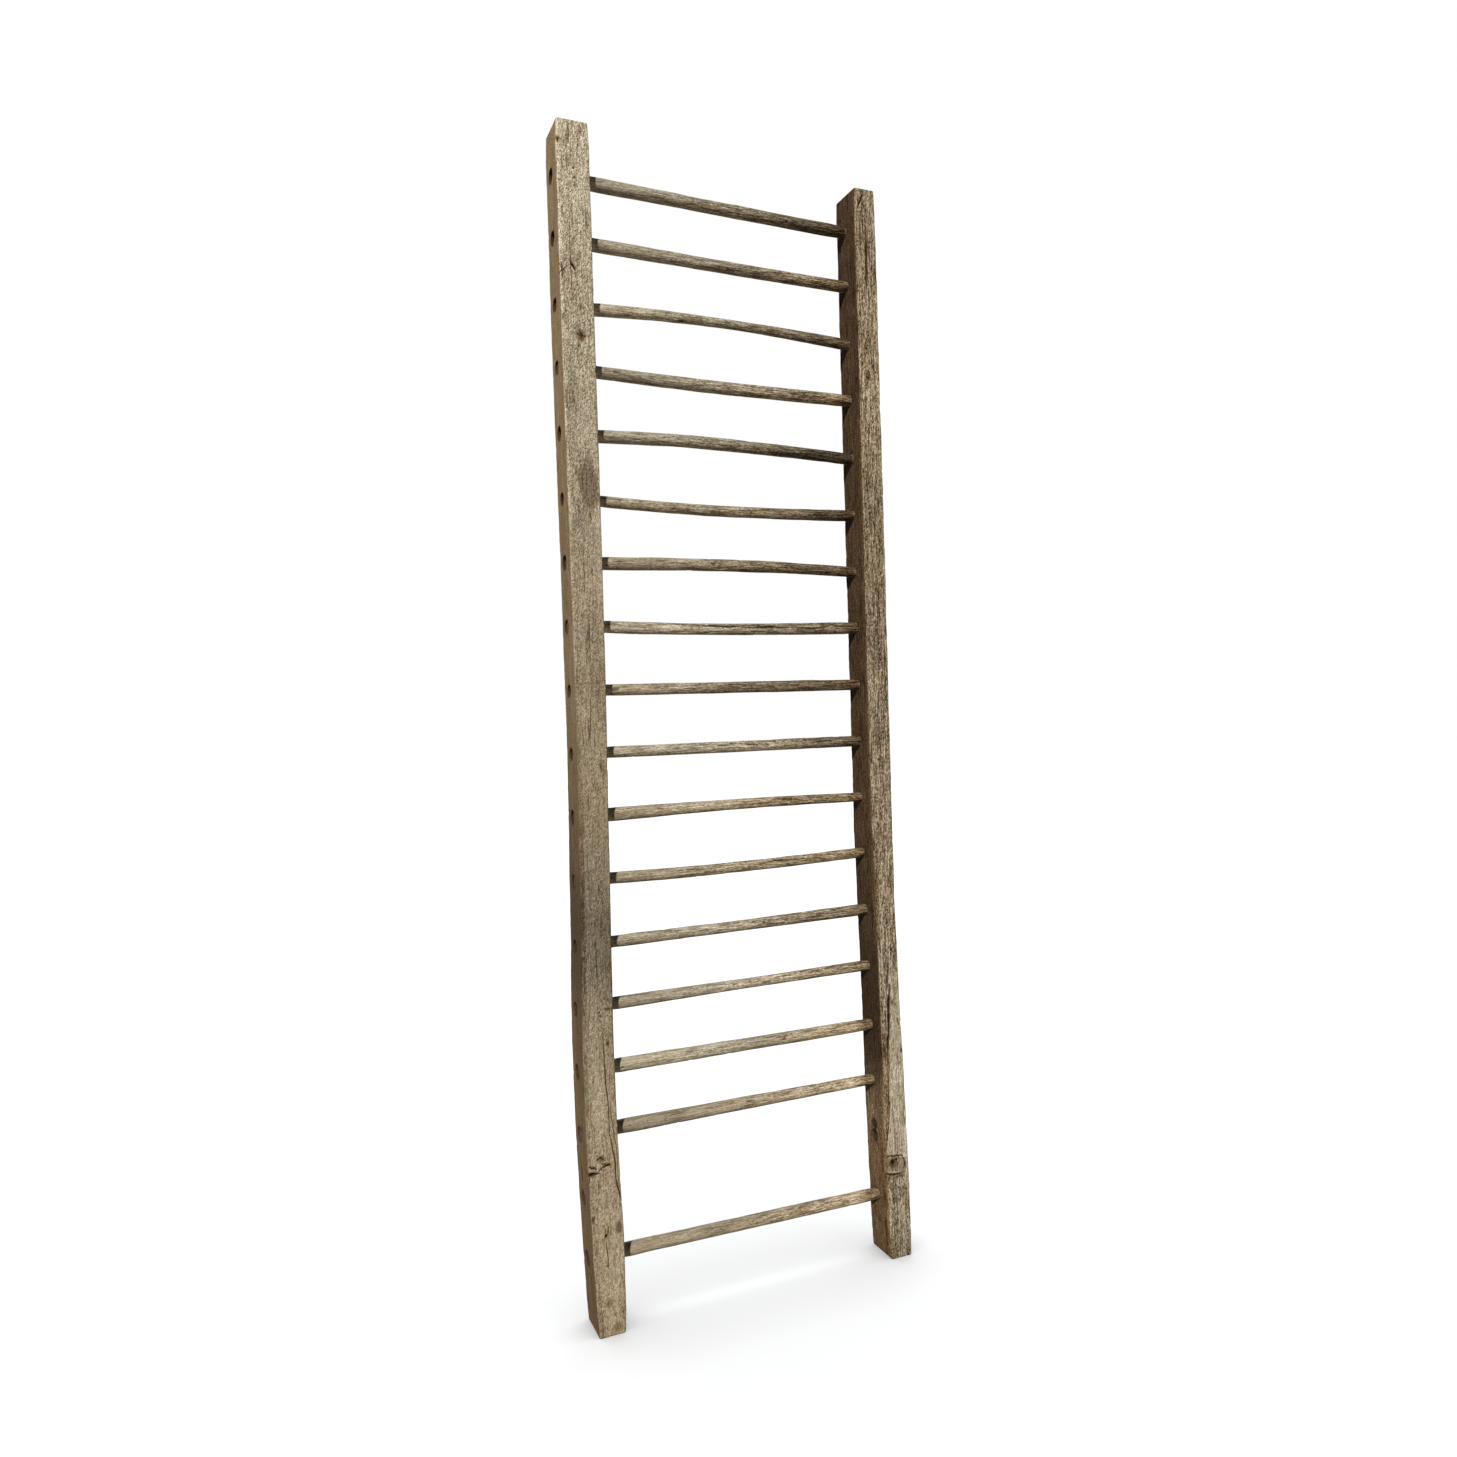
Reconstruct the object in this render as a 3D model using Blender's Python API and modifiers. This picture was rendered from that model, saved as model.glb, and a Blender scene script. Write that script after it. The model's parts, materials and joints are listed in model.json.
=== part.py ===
"""Hay rack: two hewn timber rails joined by seventeen shaved poles, like a wide ladder.

Metres, +Z up. +X runs across the rack, and +Y goes to the side that faces the wall.
The origin is on the ground, under the middle of the whole outline.
The poles' places are counted from the top. Each pole is named for its place.
"""

import math
from collections import namedtuple

import bmesh
import bpy
from mathutils import Matrix, Vector

MM = 0.001

# Places of the poles along the rails
PLACES = 18
EMPTY_PLACE = 17
PITCH = 0.120
LOWEST_PLACE_HEIGHT = 0.130
POLE_BEHIND_MIDDLE = 0.006

# Rails
RAIL_DEPTH = 0.0775
RAIL_CORNER = 0.004
STATION_SPACING = 0.19

# A rail at some height: the middle of its width, measured from the rack's middle, and its width
Section = namedtuple("Section", "height centre width")

# Both timbers keep the gentle bend that they grew with, and lean right at their feet
LEFT_RAIL = (
    Section(0.000, -0.3090, 0.0560),
    Section(0.170, -0.3130, 0.0635),
    Section(0.380, -0.3195, 0.0630),
    Section(0.570, -0.3215, 0.0620),
    Section(0.850, -0.3180, 0.0595),
    Section(1.100, -0.3155, 0.0590),
    Section(1.400, -0.3160, 0.0620),
    Section(1.900, -0.3190, 0.0650),
    Section(2.257, -0.3200, 0.0640),
)
RIGHT_RAIL = (
    Section(0.000, 0.3260, 0.0530),
    Section(0.130, 0.3225, 0.0560),
    Section(0.340, 0.3170, 0.0545),
    Section(0.550, 0.3120, 0.0500),
    Section(0.760, 0.3070, 0.0500),
    Section(0.950, 0.3050, 0.0520),
    Section(1.400, 0.3040, 0.0525),
    Section(1.900, 0.3030, 0.0515),
    Section(2.239, 0.3010, 0.0510),
)

# Round holes right through the rails, and the pole ends in them
LEFT_HOLE_LARGEST = 0.0265
RIGHT_HOLE_LARGEST = 0.0235
SEAT_GAP = 0.0004
NECK_LENGTH = 0.026
NECK_CLEAR_OF_RAIL = 0.003
HOLE_SIDES = 16
LEAST_RECESS = 0.004
RECESS_STEP = 0.0015

# A pole, in millimetres: how far each end sits above its even place, how far its middle stands
# above a straight line and where along it, and its thickness at the left, middle and right
Pole = namedtuple("Pole", "place left_rise right_rise hump hump_at left middle right")

POLES = (
    Pole(1, -1, -7, 0, 0.50, 26.5, 25.0, 25.5),
    Pole(2, 4, -1, -1, 0.50, 25.5, 24.0, 24.5),
    Pole(3, 0, -2, 9, 0.42, 24.5, 19.0, 23.0),
    Pole(4, 3, 0, -3, 0.35, 24.0, 25.5, 25.0),
    Pole(5, 0, -3, 7, 0.38, 25.5, 24.5, 24.0),
    Pole(6, -2, -2, -6, 0.45, 22.0, 22.0, 23.5),
    Pole(7, -1, -1, 5, 0.55, 25.5, 24.5, 22.0),
    Pole(8, -1, 1, -4, 0.40, 24.0, 23.5, 25.0),
    Pole(9, -2, 1, 0, 0.50, 22.5, 23.0, 23.0),
    Pole(10, -1, 2, 0, 0.50, 22.5, 22.5, 23.0),
    Pole(11, 0, 3, 3, 0.50, 26.5, 21.5, 19.5),
    Pole(12, -1, 5, -4, 0.45, 23.5, 21.5, 21.5),
    Pole(13, -3, 4, -1, 0.50, 23.5, 22.0, 24.5),
    Pole(14, -1, 4, 0, 0.50, 24.5, 20.5, 22.0),
    Pole(15, -1, -2, 0, 0.50, 27.5, 25.0, 24.5),
    Pole(16, 1, 0, 0, 0.50, 28.0, 24.5, 22.5),
    Pole(18, 3, -6, 0, 0.50, 26.5, 26.0, 25.5),
)
BODY_STATIONS = 8
POLE_ROUNDNESS = 4

# Nails driven from the front through a rail and into the pole end inside it
NAIL_HEAD_RADIUS = 0.0038
NAIL_HEAD_THICKNESS = 0.0012
NAIL_SHANK_RADIUS = 0.0018
NAIL_LENGTH = 0.046
NAIL_POINT_LENGTH = 0.006
NAIL_HEAD_SUNK = 0.0004
NAIL_GAP = 0.0004
NAIL_SIDES = 10

Nail = namedtuple("Nail", "name rail place aside")

NAILS = (
    Nail("lock_nail_top_left", "left", 1, -0.001),
    Nail("lock_nail_second_left", "left", 2, -0.001),
    Nail("lock_nail_bottom_left", "left", 18, -0.004),
    Nail("lock_nail_top_right", "right", 1, 0.001),
    Nail("lock_nail_bottom_right", "right", 18, 0.002),
)

# Shallow rebate in the front of the right rail, where a batten was once let in
REBATE_HEIGHT = 0.200
REBATE_TALL = 0.036
REBATE_DEPTH = 0.003
REBATE_OUTER_WALL = 0.006


def remove_everything():
    """Empty the file that the script runs in."""
    for item in list(bpy.data.objects):
        bpy.data.objects.remove(item, do_unlink=True)


def new_collection(name):
    """A collection under the scene's own."""
    collection = bpy.data.collections.new(name)
    bpy.context.scene.collection.children.link(collection)
    return collection


def principled(name, colour, roughness, metallic=0.0):
    """A plain material of one colour."""
    material = bpy.data.materials.new(name)
    material.use_nodes = True
    shader = material.node_tree.nodes["Principled BSDF"]
    shader.inputs["Base Color"].default_value = (*colour, 1.0)
    shader.inputs["Roughness"].default_value = roughness
    shader.inputs["Metallic"].default_value = metallic
    material.diffuse_color = (*colour, 1.0)
    return material


def add_object(name, mesh, collection, material=None):
    """An object for a mesh, in its collection."""
    item = bpy.data.objects.new(name, mesh)
    collection.objects.link(item)
    if material is not None:
        item.data.materials.append(material)
    return item


def ease(share):
    """0 to 1 with a gentle start and end."""
    return share * share * (3.0 - 2.0 * share)


def section_at(sections, height):
    """The rail's section at any height, eased between the listed ones."""
    below = sections[0]
    for above in sections[1:]:
        if height <= above.height:
            share = ease((height - below.height) / (above.height - below.height))
            centre = below.centre + share * (above.centre - below.centre)
            width = below.width + share * (above.width - below.width)
            return Section(height, centre, width)
        below = above
    return Section(height, below.centre, below.width)


def place_height(place):
    """The height of a place on evenly spaced rails."""
    return LOWEST_PLACE_HEIGHT + (PLACES - place) * PITCH


def seat_points(left_height, right_height):
    """Where a pole's axis meets the two inner faces."""
    left = section_at(LEFT_RAIL, left_height)
    right = section_at(RIGHT_RAIL, right_height)
    return (
        Vector((left.centre + left.width / 2.0, POLE_BEHIND_MIDDLE, left_height)),
        Vector((right.centre - right.width / 2.0, POLE_BEHIND_MIDDLE, right_height)),
    )


def pole_seats(pole):
    """The seat points of one pole."""
    height = place_height(pole.place)
    return seat_points(height + pole.left_rise * MM, height + pole.right_rise * MM)


def left_tenon(pole):
    """Radius of the pole's left end, where it fills its hole."""
    return min(pole.left * MM, LEFT_HOLE_LARGEST) / 2.0 - SEAT_GAP


def right_tenon(pole):
    """Radius of the pole's right end, where it fills its hole."""
    return min(pole.right * MM, RIGHT_HOLE_LARGEST) / 2.0 - SEAT_GAP


def body_radius(pole, share):
    """Radius between the rails, from 0 at the left one to 1 at the right one."""
    if share < 0.5:
        thickness = pole.left + ease(share / 0.5) * (pole.middle - pole.left)
    else:
        thickness = pole.middle + ease(share / 0.5 - 1.0) * (pole.right - pole.middle)
    return thickness * MM / 2.0


def body_lift(pole, share):
    """Height of a bent pole's middle line above the line from seat to seat."""
    if share < pole.hump_at:
        part = share / pole.hump_at
    else:
        part = (1.0 - share) / (1.0 - pole.hump_at)
    return pole.hump * MM * math.sin(part * math.pi / 2.0)


def recess(place, offset):
    """How far a pole's end stops short of the rail's outer face; it differs from hole to hole."""
    return LEAST_RECESS + RECESS_STEP * ((place * 3 + offset) % 4)


def rail_cube(name, sections):
    """A square timber whose sides follow the listed sections."""
    top = sections[-1].height
    shape = bmesh.new()
    place = Matrix.Translation((0.0, 0.0, top / 2.0))
    size = Matrix.Diagonal((1.0, RAIL_DEPTH, top, 1.0))
    bmesh.ops.create_cube(shape, size=1.0, matrix=place @ size)
    stations = round(top / STATION_SPACING)
    for step in range(1, stations):
        everything = shape.verts[:] + shape.edges[:] + shape.faces[:]
        height = top * step / stations
        bmesh.ops.bisect_plane(shape, geom=everything, plane_co=(0, 0, height), plane_no=(0, 0, 1))
    for corner in shape.verts:
        section = section_at(sections, corner.co.z)
        corner.co.x = section.centre + corner.co.x * section.width
    mesh = bpy.data.meshes.new(name)
    shape.to_mesh(mesh)
    shape.free()
    return mesh


def add_holes(shape, sections, seats, radius):
    """A rod through the rail at one place, along its pole's axis."""
    left, right = seats
    along = (right - left).normalized()
    height = left.z if sections is LEFT_RAIL else right.z
    section = section_at(sections, height)
    middle = left + along * ((section.centre - left.x) / along.x)
    turn = Vector((0, 0, 1)).rotation_difference(along).to_matrix().to_4x4()
    corner_radius = radius / math.cos(math.pi / HOLE_SIDES)
    bmesh.ops.create_cone(
        shape,
        cap_ends=True,
        segments=HOLE_SIDES,
        radius1=corner_radius,
        radius2=corner_radius,
        depth=section.width * 1.6,
        matrix=Matrix.Translation(middle) @ turn,
    )


def hole_cutter(name, sections, collection):
    """All the holes of one rail: one for each pole and one for the empty place."""
    on_left = sections is LEFT_RAIL
    shape = bmesh.new()
    for pole in POLES:
        radius = (left_tenon(pole) if on_left else right_tenon(pole)) + SEAT_GAP
        add_holes(shape, sections, pole_seats(pole), radius)
    empty = place_height(EMPTY_PLACE)
    radius = (LEFT_HOLE_LARGEST if on_left else RIGHT_HOLE_LARGEST) / 2.0
    add_holes(shape, sections, seat_points(empty, empty), radius)
    mesh = bpy.data.meshes.new(name)
    shape.to_mesh(mesh)
    shape.free()
    return as_cutter(add_object(name, mesh, collection))


def rebate_cutter(name, collection):
    """A shallow block across the front of the right rail, open on the inner side."""
    section = section_at(RIGHT_RAIL, REBATE_HEIGHT)
    inner = section.centre - section.width
    outer = section.centre + section.width / 2.0 - REBATE_OUTER_WALL
    shape = bmesh.new()
    place = Matrix.Translation(((inner + outer) / 2.0, -RAIL_DEPTH / 2.0, REBATE_HEIGHT))
    size = Matrix.Diagonal((outer - inner, 2.0 * REBATE_DEPTH, REBATE_TALL, 1.0))
    bmesh.ops.create_cube(shape, size=1.0, matrix=place @ size)
    mesh = bpy.data.meshes.new(name)
    shape.to_mesh(mesh)
    shape.free()
    return as_cutter(add_object(name, mesh, collection))


def as_cutter(item):
    """Mark an object as one that only cuts others."""
    item.hide_render = True
    item.display_type = "WIRE"
    return item


def cut(item, cutter):
    """Take a cutter's shape out of an object."""
    boolean = item.modifiers.new("cut_" + cutter.name, "BOOLEAN")
    boolean.operation = "DIFFERENCE"
    boolean.solver = "EXACT"
    boolean.object = cutter


def make_rail(name, sections, material, parts, cutters):
    """One rail with worn corners and its row of holes."""
    rail = add_object(name, rail_cube(name, sections), parts, material)
    corner = rail.modifiers.new("worn_corners", "BEVEL")
    corner.width = RAIL_CORNER
    corner.segments = 1
    corner.limit_method = "ANGLE"
    corner.angle_limit = math.radians(40.0)
    cut(rail, hole_cutter(name + "_holes", sections, cutters))
    return rail


def pole_stations(pole, length):
    """Distance from the left seat, lift and radius along one pole, left end first."""
    left_height = place_height(pole.place) + pole.left_rise * MM
    right_height = place_height(pole.place) + pole.right_rise * MM
    left_reach = section_at(LEFT_RAIL, left_height).width - recess(pole.place, 0)
    right_reach = section_at(RIGHT_RAIL, right_height).width - recess(pole.place, 1)
    stations = [
        (-left_reach, 0.0, left_tenon(pole)),
        (NECK_CLEAR_OF_RAIL, 0.0, left_tenon(pole)),
    ]
    for step in range(BODY_STATIONS + 1):
        share = step / BODY_STATIONS
        distance = NECK_LENGTH + share * (length - 2.0 * NECK_LENGTH)
        share = distance / length
        stations.append((distance, body_lift(pole, share), body_radius(pole, share)))
    stations.append((length - NECK_CLEAR_OF_RAIL, 0.0, right_tenon(pole)))
    stations.append((length + right_reach, 0.0, right_tenon(pole)))
    return stations


def pole_curve(pole, name, collection):
    """A pole as a thick curve, lying along its own X axis from its left seat."""
    left, right = pole_seats(pole)
    stations = pole_stations(pole, (right - left).length)
    curve = bpy.data.curves.new(name, "CURVE")
    curve.dimensions = "3D"
    curve.bevel_depth = 1.0
    curve.bevel_resolution = POLE_ROUNDNESS
    curve.use_fill_caps = True
    spline = curve.splines.new("POLY")
    spline.points.add(len(stations) - 1)
    for point, (distance, lift, radius) in zip(spline.points, stations):
        point.co = (distance, 0.0, lift, 1.0)
        point.radius = radius
    item = bpy.data.objects.new(name + "_curve", curve)
    collection.objects.link(item)
    item.location = left
    item.rotation_euler.y = -math.atan2(right.z - left.z, right.x - left.x)
    return item


def solid_from_curve(item, name, collection, material):
    """The curve's thick shape as a closed mesh object in the same place."""
    bpy.context.view_layer.update()
    depsgraph = bpy.context.evaluated_depsgraph_get()
    mesh = bpy.data.meshes.new_from_object(item.evaluated_get(depsgraph))
    mesh.name = name
    shape = bmesh.new()
    shape.from_mesh(mesh)
    bmesh.ops.remove_doubles(shape, verts=shape.verts, dist=0.00001)
    shape.to_mesh(mesh)
    shape.free()
    solid = add_object(name, mesh, collection)
    mesh.materials.clear()
    mesh.materials.append(material)
    solid.matrix_world = item.matrix_world
    bpy.data.objects.remove(item, do_unlink=True)
    mesh.shade_smooth()
    mesh.set_sharp_from_angle(angle=math.radians(40.0))
    return solid


def make_pole(pole, material, parts):
    """One shaved pole with both its ends."""
    name = f"rung_{pole.place:02d}"
    return solid_from_curve(pole_curve(pole, name, parts), name, parts, material)


def turned(name, profile, collection, material=None):
    """A profile of radius and height, listed from the top down, turned about the Z axis."""
    mesh = bpy.data.meshes.new(name)
    points = [(radius, 0.0, height) for radius, height in profile]
    edges = [(index, index + 1) for index in range(len(points) - 1)]
    mesh.from_pydata(points, edges, [])
    item = add_object(name, mesh, collection, material)
    screw = item.modifiers.new("turn", "SCREW")
    screw.axis = "Z"
    screw.steps = NAIL_SIDES
    screw.render_steps = NAIL_SIDES
    screw.use_merge_vertices = True
    screw.merge_threshold = 0.00001
    screw.use_smooth_shade = True
    return item


def nail_profile(gap):
    """Outline of a nail, or of the hole that it leaves when there is a gap round it."""
    head = NAIL_HEAD_RADIUS + gap
    shank = NAIL_SHANK_RADIUS + gap
    under_head = -NAIL_HEAD_THICKNESS - gap
    shoulder = -NAIL_LENGTH + NAIL_POINT_LENGTH
    above = 0.004 if gap else 0.0
    return (
        (0.0, above),
        (head, above),
        (head, under_head),
        (shank, under_head),
        (shank, shoulder),
        (0.0, -NAIL_LENGTH - gap),
    )


def nail_place(nail):
    """Where the top of a nail's head lies on the front of its rail."""
    pole = next(pole for pole in POLES if pole.place == nail.place)
    on_left = nail.rail == "left"
    sections = LEFT_RAIL if on_left else RIGHT_RAIL
    height = place_height(nail.place) + (pole.left_rise if on_left else pole.right_rise) * MM
    across = section_at(sections, height).centre + nail.aside
    return Vector((across, -RAIL_DEPTH / 2.0 + NAIL_HEAD_SUNK, height))


def make_nail(nail, rail, pole, material, parts, cutters):
    """One lock nail, with its hole in the rail and in the pole's end."""
    item = turned(nail.name, nail_profile(0.0), parts, material)
    bore = as_cutter(turned(nail.name + "_bore", nail_profile(NAIL_GAP), cutters))
    for piece in (item, bore):
        piece.location = nail_place(nail)
        piece.rotation_euler.x = math.radians(90.0)
    cut(rail, bore)
    cut(pole, bore)
    return item


def build():
    """Make the whole rack."""
    remove_everything()
    parts = new_collection("hay_rack")
    cutters = new_collection("hay_rack_cutters")
    left_timber = principled("left_rail_timber", (0.33, 0.27, 0.19), 0.85)
    right_timber = principled("right_rail_timber", (0.27, 0.22, 0.15), 0.88)
    pole_wood = principled("pole_wood", (0.36, 0.30, 0.21), 0.8)
    iron = principled("rusty_iron", (0.06, 0.04, 0.03), 0.7, 0.8)

    rails = {
        "left": make_rail("rail_left", LEFT_RAIL, left_timber, parts, cutters),
        "right": make_rail("rail_right", RIGHT_RAIL, right_timber, parts, cutters),
    }
    cut(rails["right"], rebate_cutter("rail_right_rebate", cutters))
    poles = {pole.place: make_pole(pole, pole_wood, parts) for pole in POLES}
    for nail in NAILS:
        make_nail(nail, rails[nail.rail], poles[nail.place], iron, parts, cutters)


build()
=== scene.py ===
"""The looks of an old hay rack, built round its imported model.

Each rail, rung and nail is a finer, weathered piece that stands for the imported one. Every place
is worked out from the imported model, or is written in millimetres in the rack's own frame:
X across the rack, Y to the wall side and Z up.
"""

import json
import math
from collections import namedtuple
from functools import partial
from itertools import product

import bpy
import numpy as np
from mathutils import Matrix, Vector
from mathutils.bvhtree import BVHTree


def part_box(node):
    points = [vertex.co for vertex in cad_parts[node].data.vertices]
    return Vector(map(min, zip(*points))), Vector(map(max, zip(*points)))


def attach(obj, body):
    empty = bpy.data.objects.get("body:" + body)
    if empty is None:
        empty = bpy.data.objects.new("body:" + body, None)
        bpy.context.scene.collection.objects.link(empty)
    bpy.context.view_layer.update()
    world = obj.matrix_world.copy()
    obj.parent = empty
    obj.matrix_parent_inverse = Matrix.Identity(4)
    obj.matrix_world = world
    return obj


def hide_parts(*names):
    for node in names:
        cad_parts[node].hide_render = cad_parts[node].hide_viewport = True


MM = 0.001

# Camera: where it stands, how far it turns from facing the rack in radians, and its lens in
# millimetres on a 36 mm sensor
CAMERA_PLACE = (-0.8523, -1.9103, 1.1506)
CAMERA_TURNS = ((-0.40945, "Z"), (-0.01121, "X"), (0.02809, "Y"))
CAMERA_LENS = 25.73

# Far lamps: the way each one shines, its strength and how many degrees wide it is
SUNS = {
    "key": ((0.68, 1.0, -0.84), 8.15, 2.5),
    "overhead": ((0.0, 0.0, -1.0), 3.9, 110.0),
    "back": ((-0.7, -1.0, -0.05), 7.0, 40.0),
    "bounce": ((-0.1, 0.35, 1.0), 1.28, 110.0),
}
BOUNCE_COLOUR = (1.0, 0.79, 0.51)
FILL_COLOUR = (0.86, 0.94, 1.04)
FILL_STRENGTH = 0.22

FLOOR_RADIUS = 30.0
FLOOR_SIDES = 96
FLOOR_COLOUR = (0.80, 0.80, 0.79)

# Fineness of the rails' surface: steps across each side and how much they crowd to its edges;
# in metres, the stations at each end, the spacing of the others and how far from a hole's middle
# they are closer; and the rings that close each end
RAIL_STEPS = {"front": 68, "right": 20, "back": 12, "left": 30}
CROWDING = 0.3
END_HEIGHTS = (0.0, 0.0003, 0.0009, 0.0020, 0.0036)
COARSE_SPACING = 0.0048
FINE_SPACING = 0.0026
FINEST_SPACING = 0.0016
HOLE_ZONE = 0.016
CAP_RINGS = 7

# Edges sharper than this many degrees aren't shaded as one smooth surface
SHARP_ANGLE = 52.0

# Fineness of the rungs' and the nails' surfaces
RUNG_SIDES = 56
RUNG_SPACING = 0.0020
NAIL_SIDES = 24

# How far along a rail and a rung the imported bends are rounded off
RAIL_EASING = 0.035
RUNG_EASING = 0.012

# Fineness and reach of the rods that cut the holes, and the room round a rung's end
HOLE_SIDES = 48
HOLE_RINGS = 13
HOLE_REACH = 0.045
HOLE_CLEARANCE = 0.0006
EMPTY_HOLE_RADIUS = {"rail_left": 0.01325, "rail_right": 0.01175}

# A crack on one face of a rail, in millimetres: its half width, its depth and its points as
# (across, height), where across is X on the front and back and Y on the sides
Crack = namedtuple("Crack", "face half_width depth points")

# A knot, nail hole or dent on one face, in millimetres: its middle, half sizes and depth, and how
# dark it is from 0 to 1
Spot = namedtuple("Spot", "face across height half_across half_height depth dark")

# The cracks and spots of each rail are listed by face, without the face's name
LEFT_CRACKS = {
    "front": [
        (0.9, 1.2, (-326, 2250), (-327, 2215)), (0.9, 1.2, (-305, 2252), (-304, 2228)),
        (0.9, 1.6, (-329, 2085), (-330, 2030), (-329, 1950), (-331, 1905)),
        (0.8, 1.2, (-324, 2100), (-325, 2060)), (2.7, 3, (-331, 1997), (-326, 1990), (-321, 1982)),
        (1.4, 1.6, (-352, 1990), (-346, 1981), (-339, 1973)),
        (1.3, 1.6, (-347, 1994), (-346, 1963)), (1.3, 1.6, (-353, 1972), (-338, 1986)),
        (1.5, 2.5, (-323, 1867), (-314, 1863), (-305, 1862)),
        (1.5, 2.5, (-318, 1875), (-314, 1863), (-312, 1850)),
        (0.9, 1.5, (-321, 1850), (-320, 1826)),
        (0.8, 1.2, (-322, 1460), (-321, 1420), (-323, 1380)),
        (0.9, 1.4, (-314, 1345), (-315, 1300), (-315, 1262)),
        (0.9, 1.4, (-316, 1195), (-317, 1150), (-319, 1120)),
        (0.9, 1.4, (-322, 745), (-320, 700), (-318, 655)),
        (1.2, 2.4, (-313, 575), (-311, 537), (-309, 469), (-305, 420), (-305, 374)),
        (1.4, 2.8, (-305, 378), (-301, 360), (-297, 335), (-295, 314), (-295, 288)),
        (1.5, 4, (-295, 294), (-291, 273), (-286, 255), (-284, 243)),
        (0.8, 1.6, (-300, 420), (-297, 385), (-292, 350), (-291, 313), (-290, 280)),
        (3.6, 7.5, (-366, 311), (-346, 309), (-326, 308)),
        (1.6, 2.5, (-330, 309), (-325, 315), (-320, 319), (-313, 319)),
        (2.4, 2.5, (-318, 320), (-310, 320), (-304, 321)),
        (1.8, 2, (-346, 326), (-341, 321), (-336, 320), (-331, 316)),
        (1.5, 1.5, (-322, 326), (-316, 323), (-312, 327)),
        (2, 1.6, (-331, 333), (-323, 337), (-316, 331)),
        (0.9, 2, (-320, 209), (-318, 197), (-317, 189)),
        (0.9, 2, (-313, 207), (-312, 196), (-316, 188)),
        (0.9, 2.5, (-317, 189), (-317, 179), (-315, 160), (-314, 128)),
    ],
    "left": [
        (1, 1.5, (12, 520), (14, 470), (13, 430)),
        (0.9, 1.2, (-14, 1720), (-16, 1650), (-14, 1590)),
    ],
    "back": [
        (1.4, 4, (-318, 2240), (-320, 2100), (-317, 1990)),
        (1.3, 3, (-325, 1280), (-322, 1130), (-324, 1010)),
        (1.5, 4, (-309, 640), (-311, 520), (-306, 380)),
    ],
    "right": [
        (1.1, 2, (14, 1860), (16, 1770), (13, 1690)), (1.1, 2, (-18, 930), (-15, 830), (-17, 740)),
    ],
}

RIGHT_CRACKS = {
    "front": [
        (2, 3.5, (283, 2194), (289, 2207), (293, 2216)),
        (2, 3.5, (291, 2212), (295, 2221), (298, 2230)),
        (3.2, 5.5, (303, 2162), (304, 2138), (303, 2090), (302, 2036)),
        (1.1, 2.5, (306, 2040), (307, 2010), (305, 1985)),
        (0.9, 1.8, (311, 1990), (313, 1930), (314, 1870), (315, 1800)),
        (0.9, 1.6, (306, 1130), (307, 1090), (305, 1050)),
        (2.5, 6.5, (311, 640), (310, 612), (308, 596), (305, 562)),
        (3.9, 7.5, (312, 576), (309, 534), (309, 508), (308, 472)),
        (2.9, 7, (308, 512), (307, 470), (305, 438), (305, 414)),
        (0.9, 2, (305, 430), (304, 390), (303, 358), (305, 323)),
        (1.2, 3, (305, 330), (302, 282), (297, 254), (293, 226)),
        (0.9, 1.2, (318, 345), (322, 347), (326, 341)),
        (0.9, 1.2, (316, 322), (321, 315), (325, 311)), (0.9, 1.2, (322, 300), (326, 270)),
        (2, 2.4, (287, 219), (306, 218), (330, 215), (338, 205)),
        (1.6, 2.2, (338, 208), (340, 195), (338, 184)),
        (2.2, 2.2, (290, 184), (307, 178), (331, 178)),
        (0.9, 1, (309, 170), (322, 172), (331, 179)),
    ],
    "left": [
        (1.6, 3, (6, 395), (5, 330), (8, 300)), (1, 1.6, (10, 1870), (12, 1800), (9, 1740)),
    ],
    "back": [
        (1.5, 4, (300, 2235), (303, 2120), (299, 2010)),
        (1.2, 2.5, (312, 1500), (309, 1370), (312, 1240)),
        (1.6, 5, (311, 620), (314, 520), (317, 400)),
    ],
    "right": [
        (1.3, 3, (-10, 1620), (-8, 1500), (-11, 1390)), (1.3, 3, (12, 820), (14, 690), (11, 560)),
    ],
}

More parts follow.
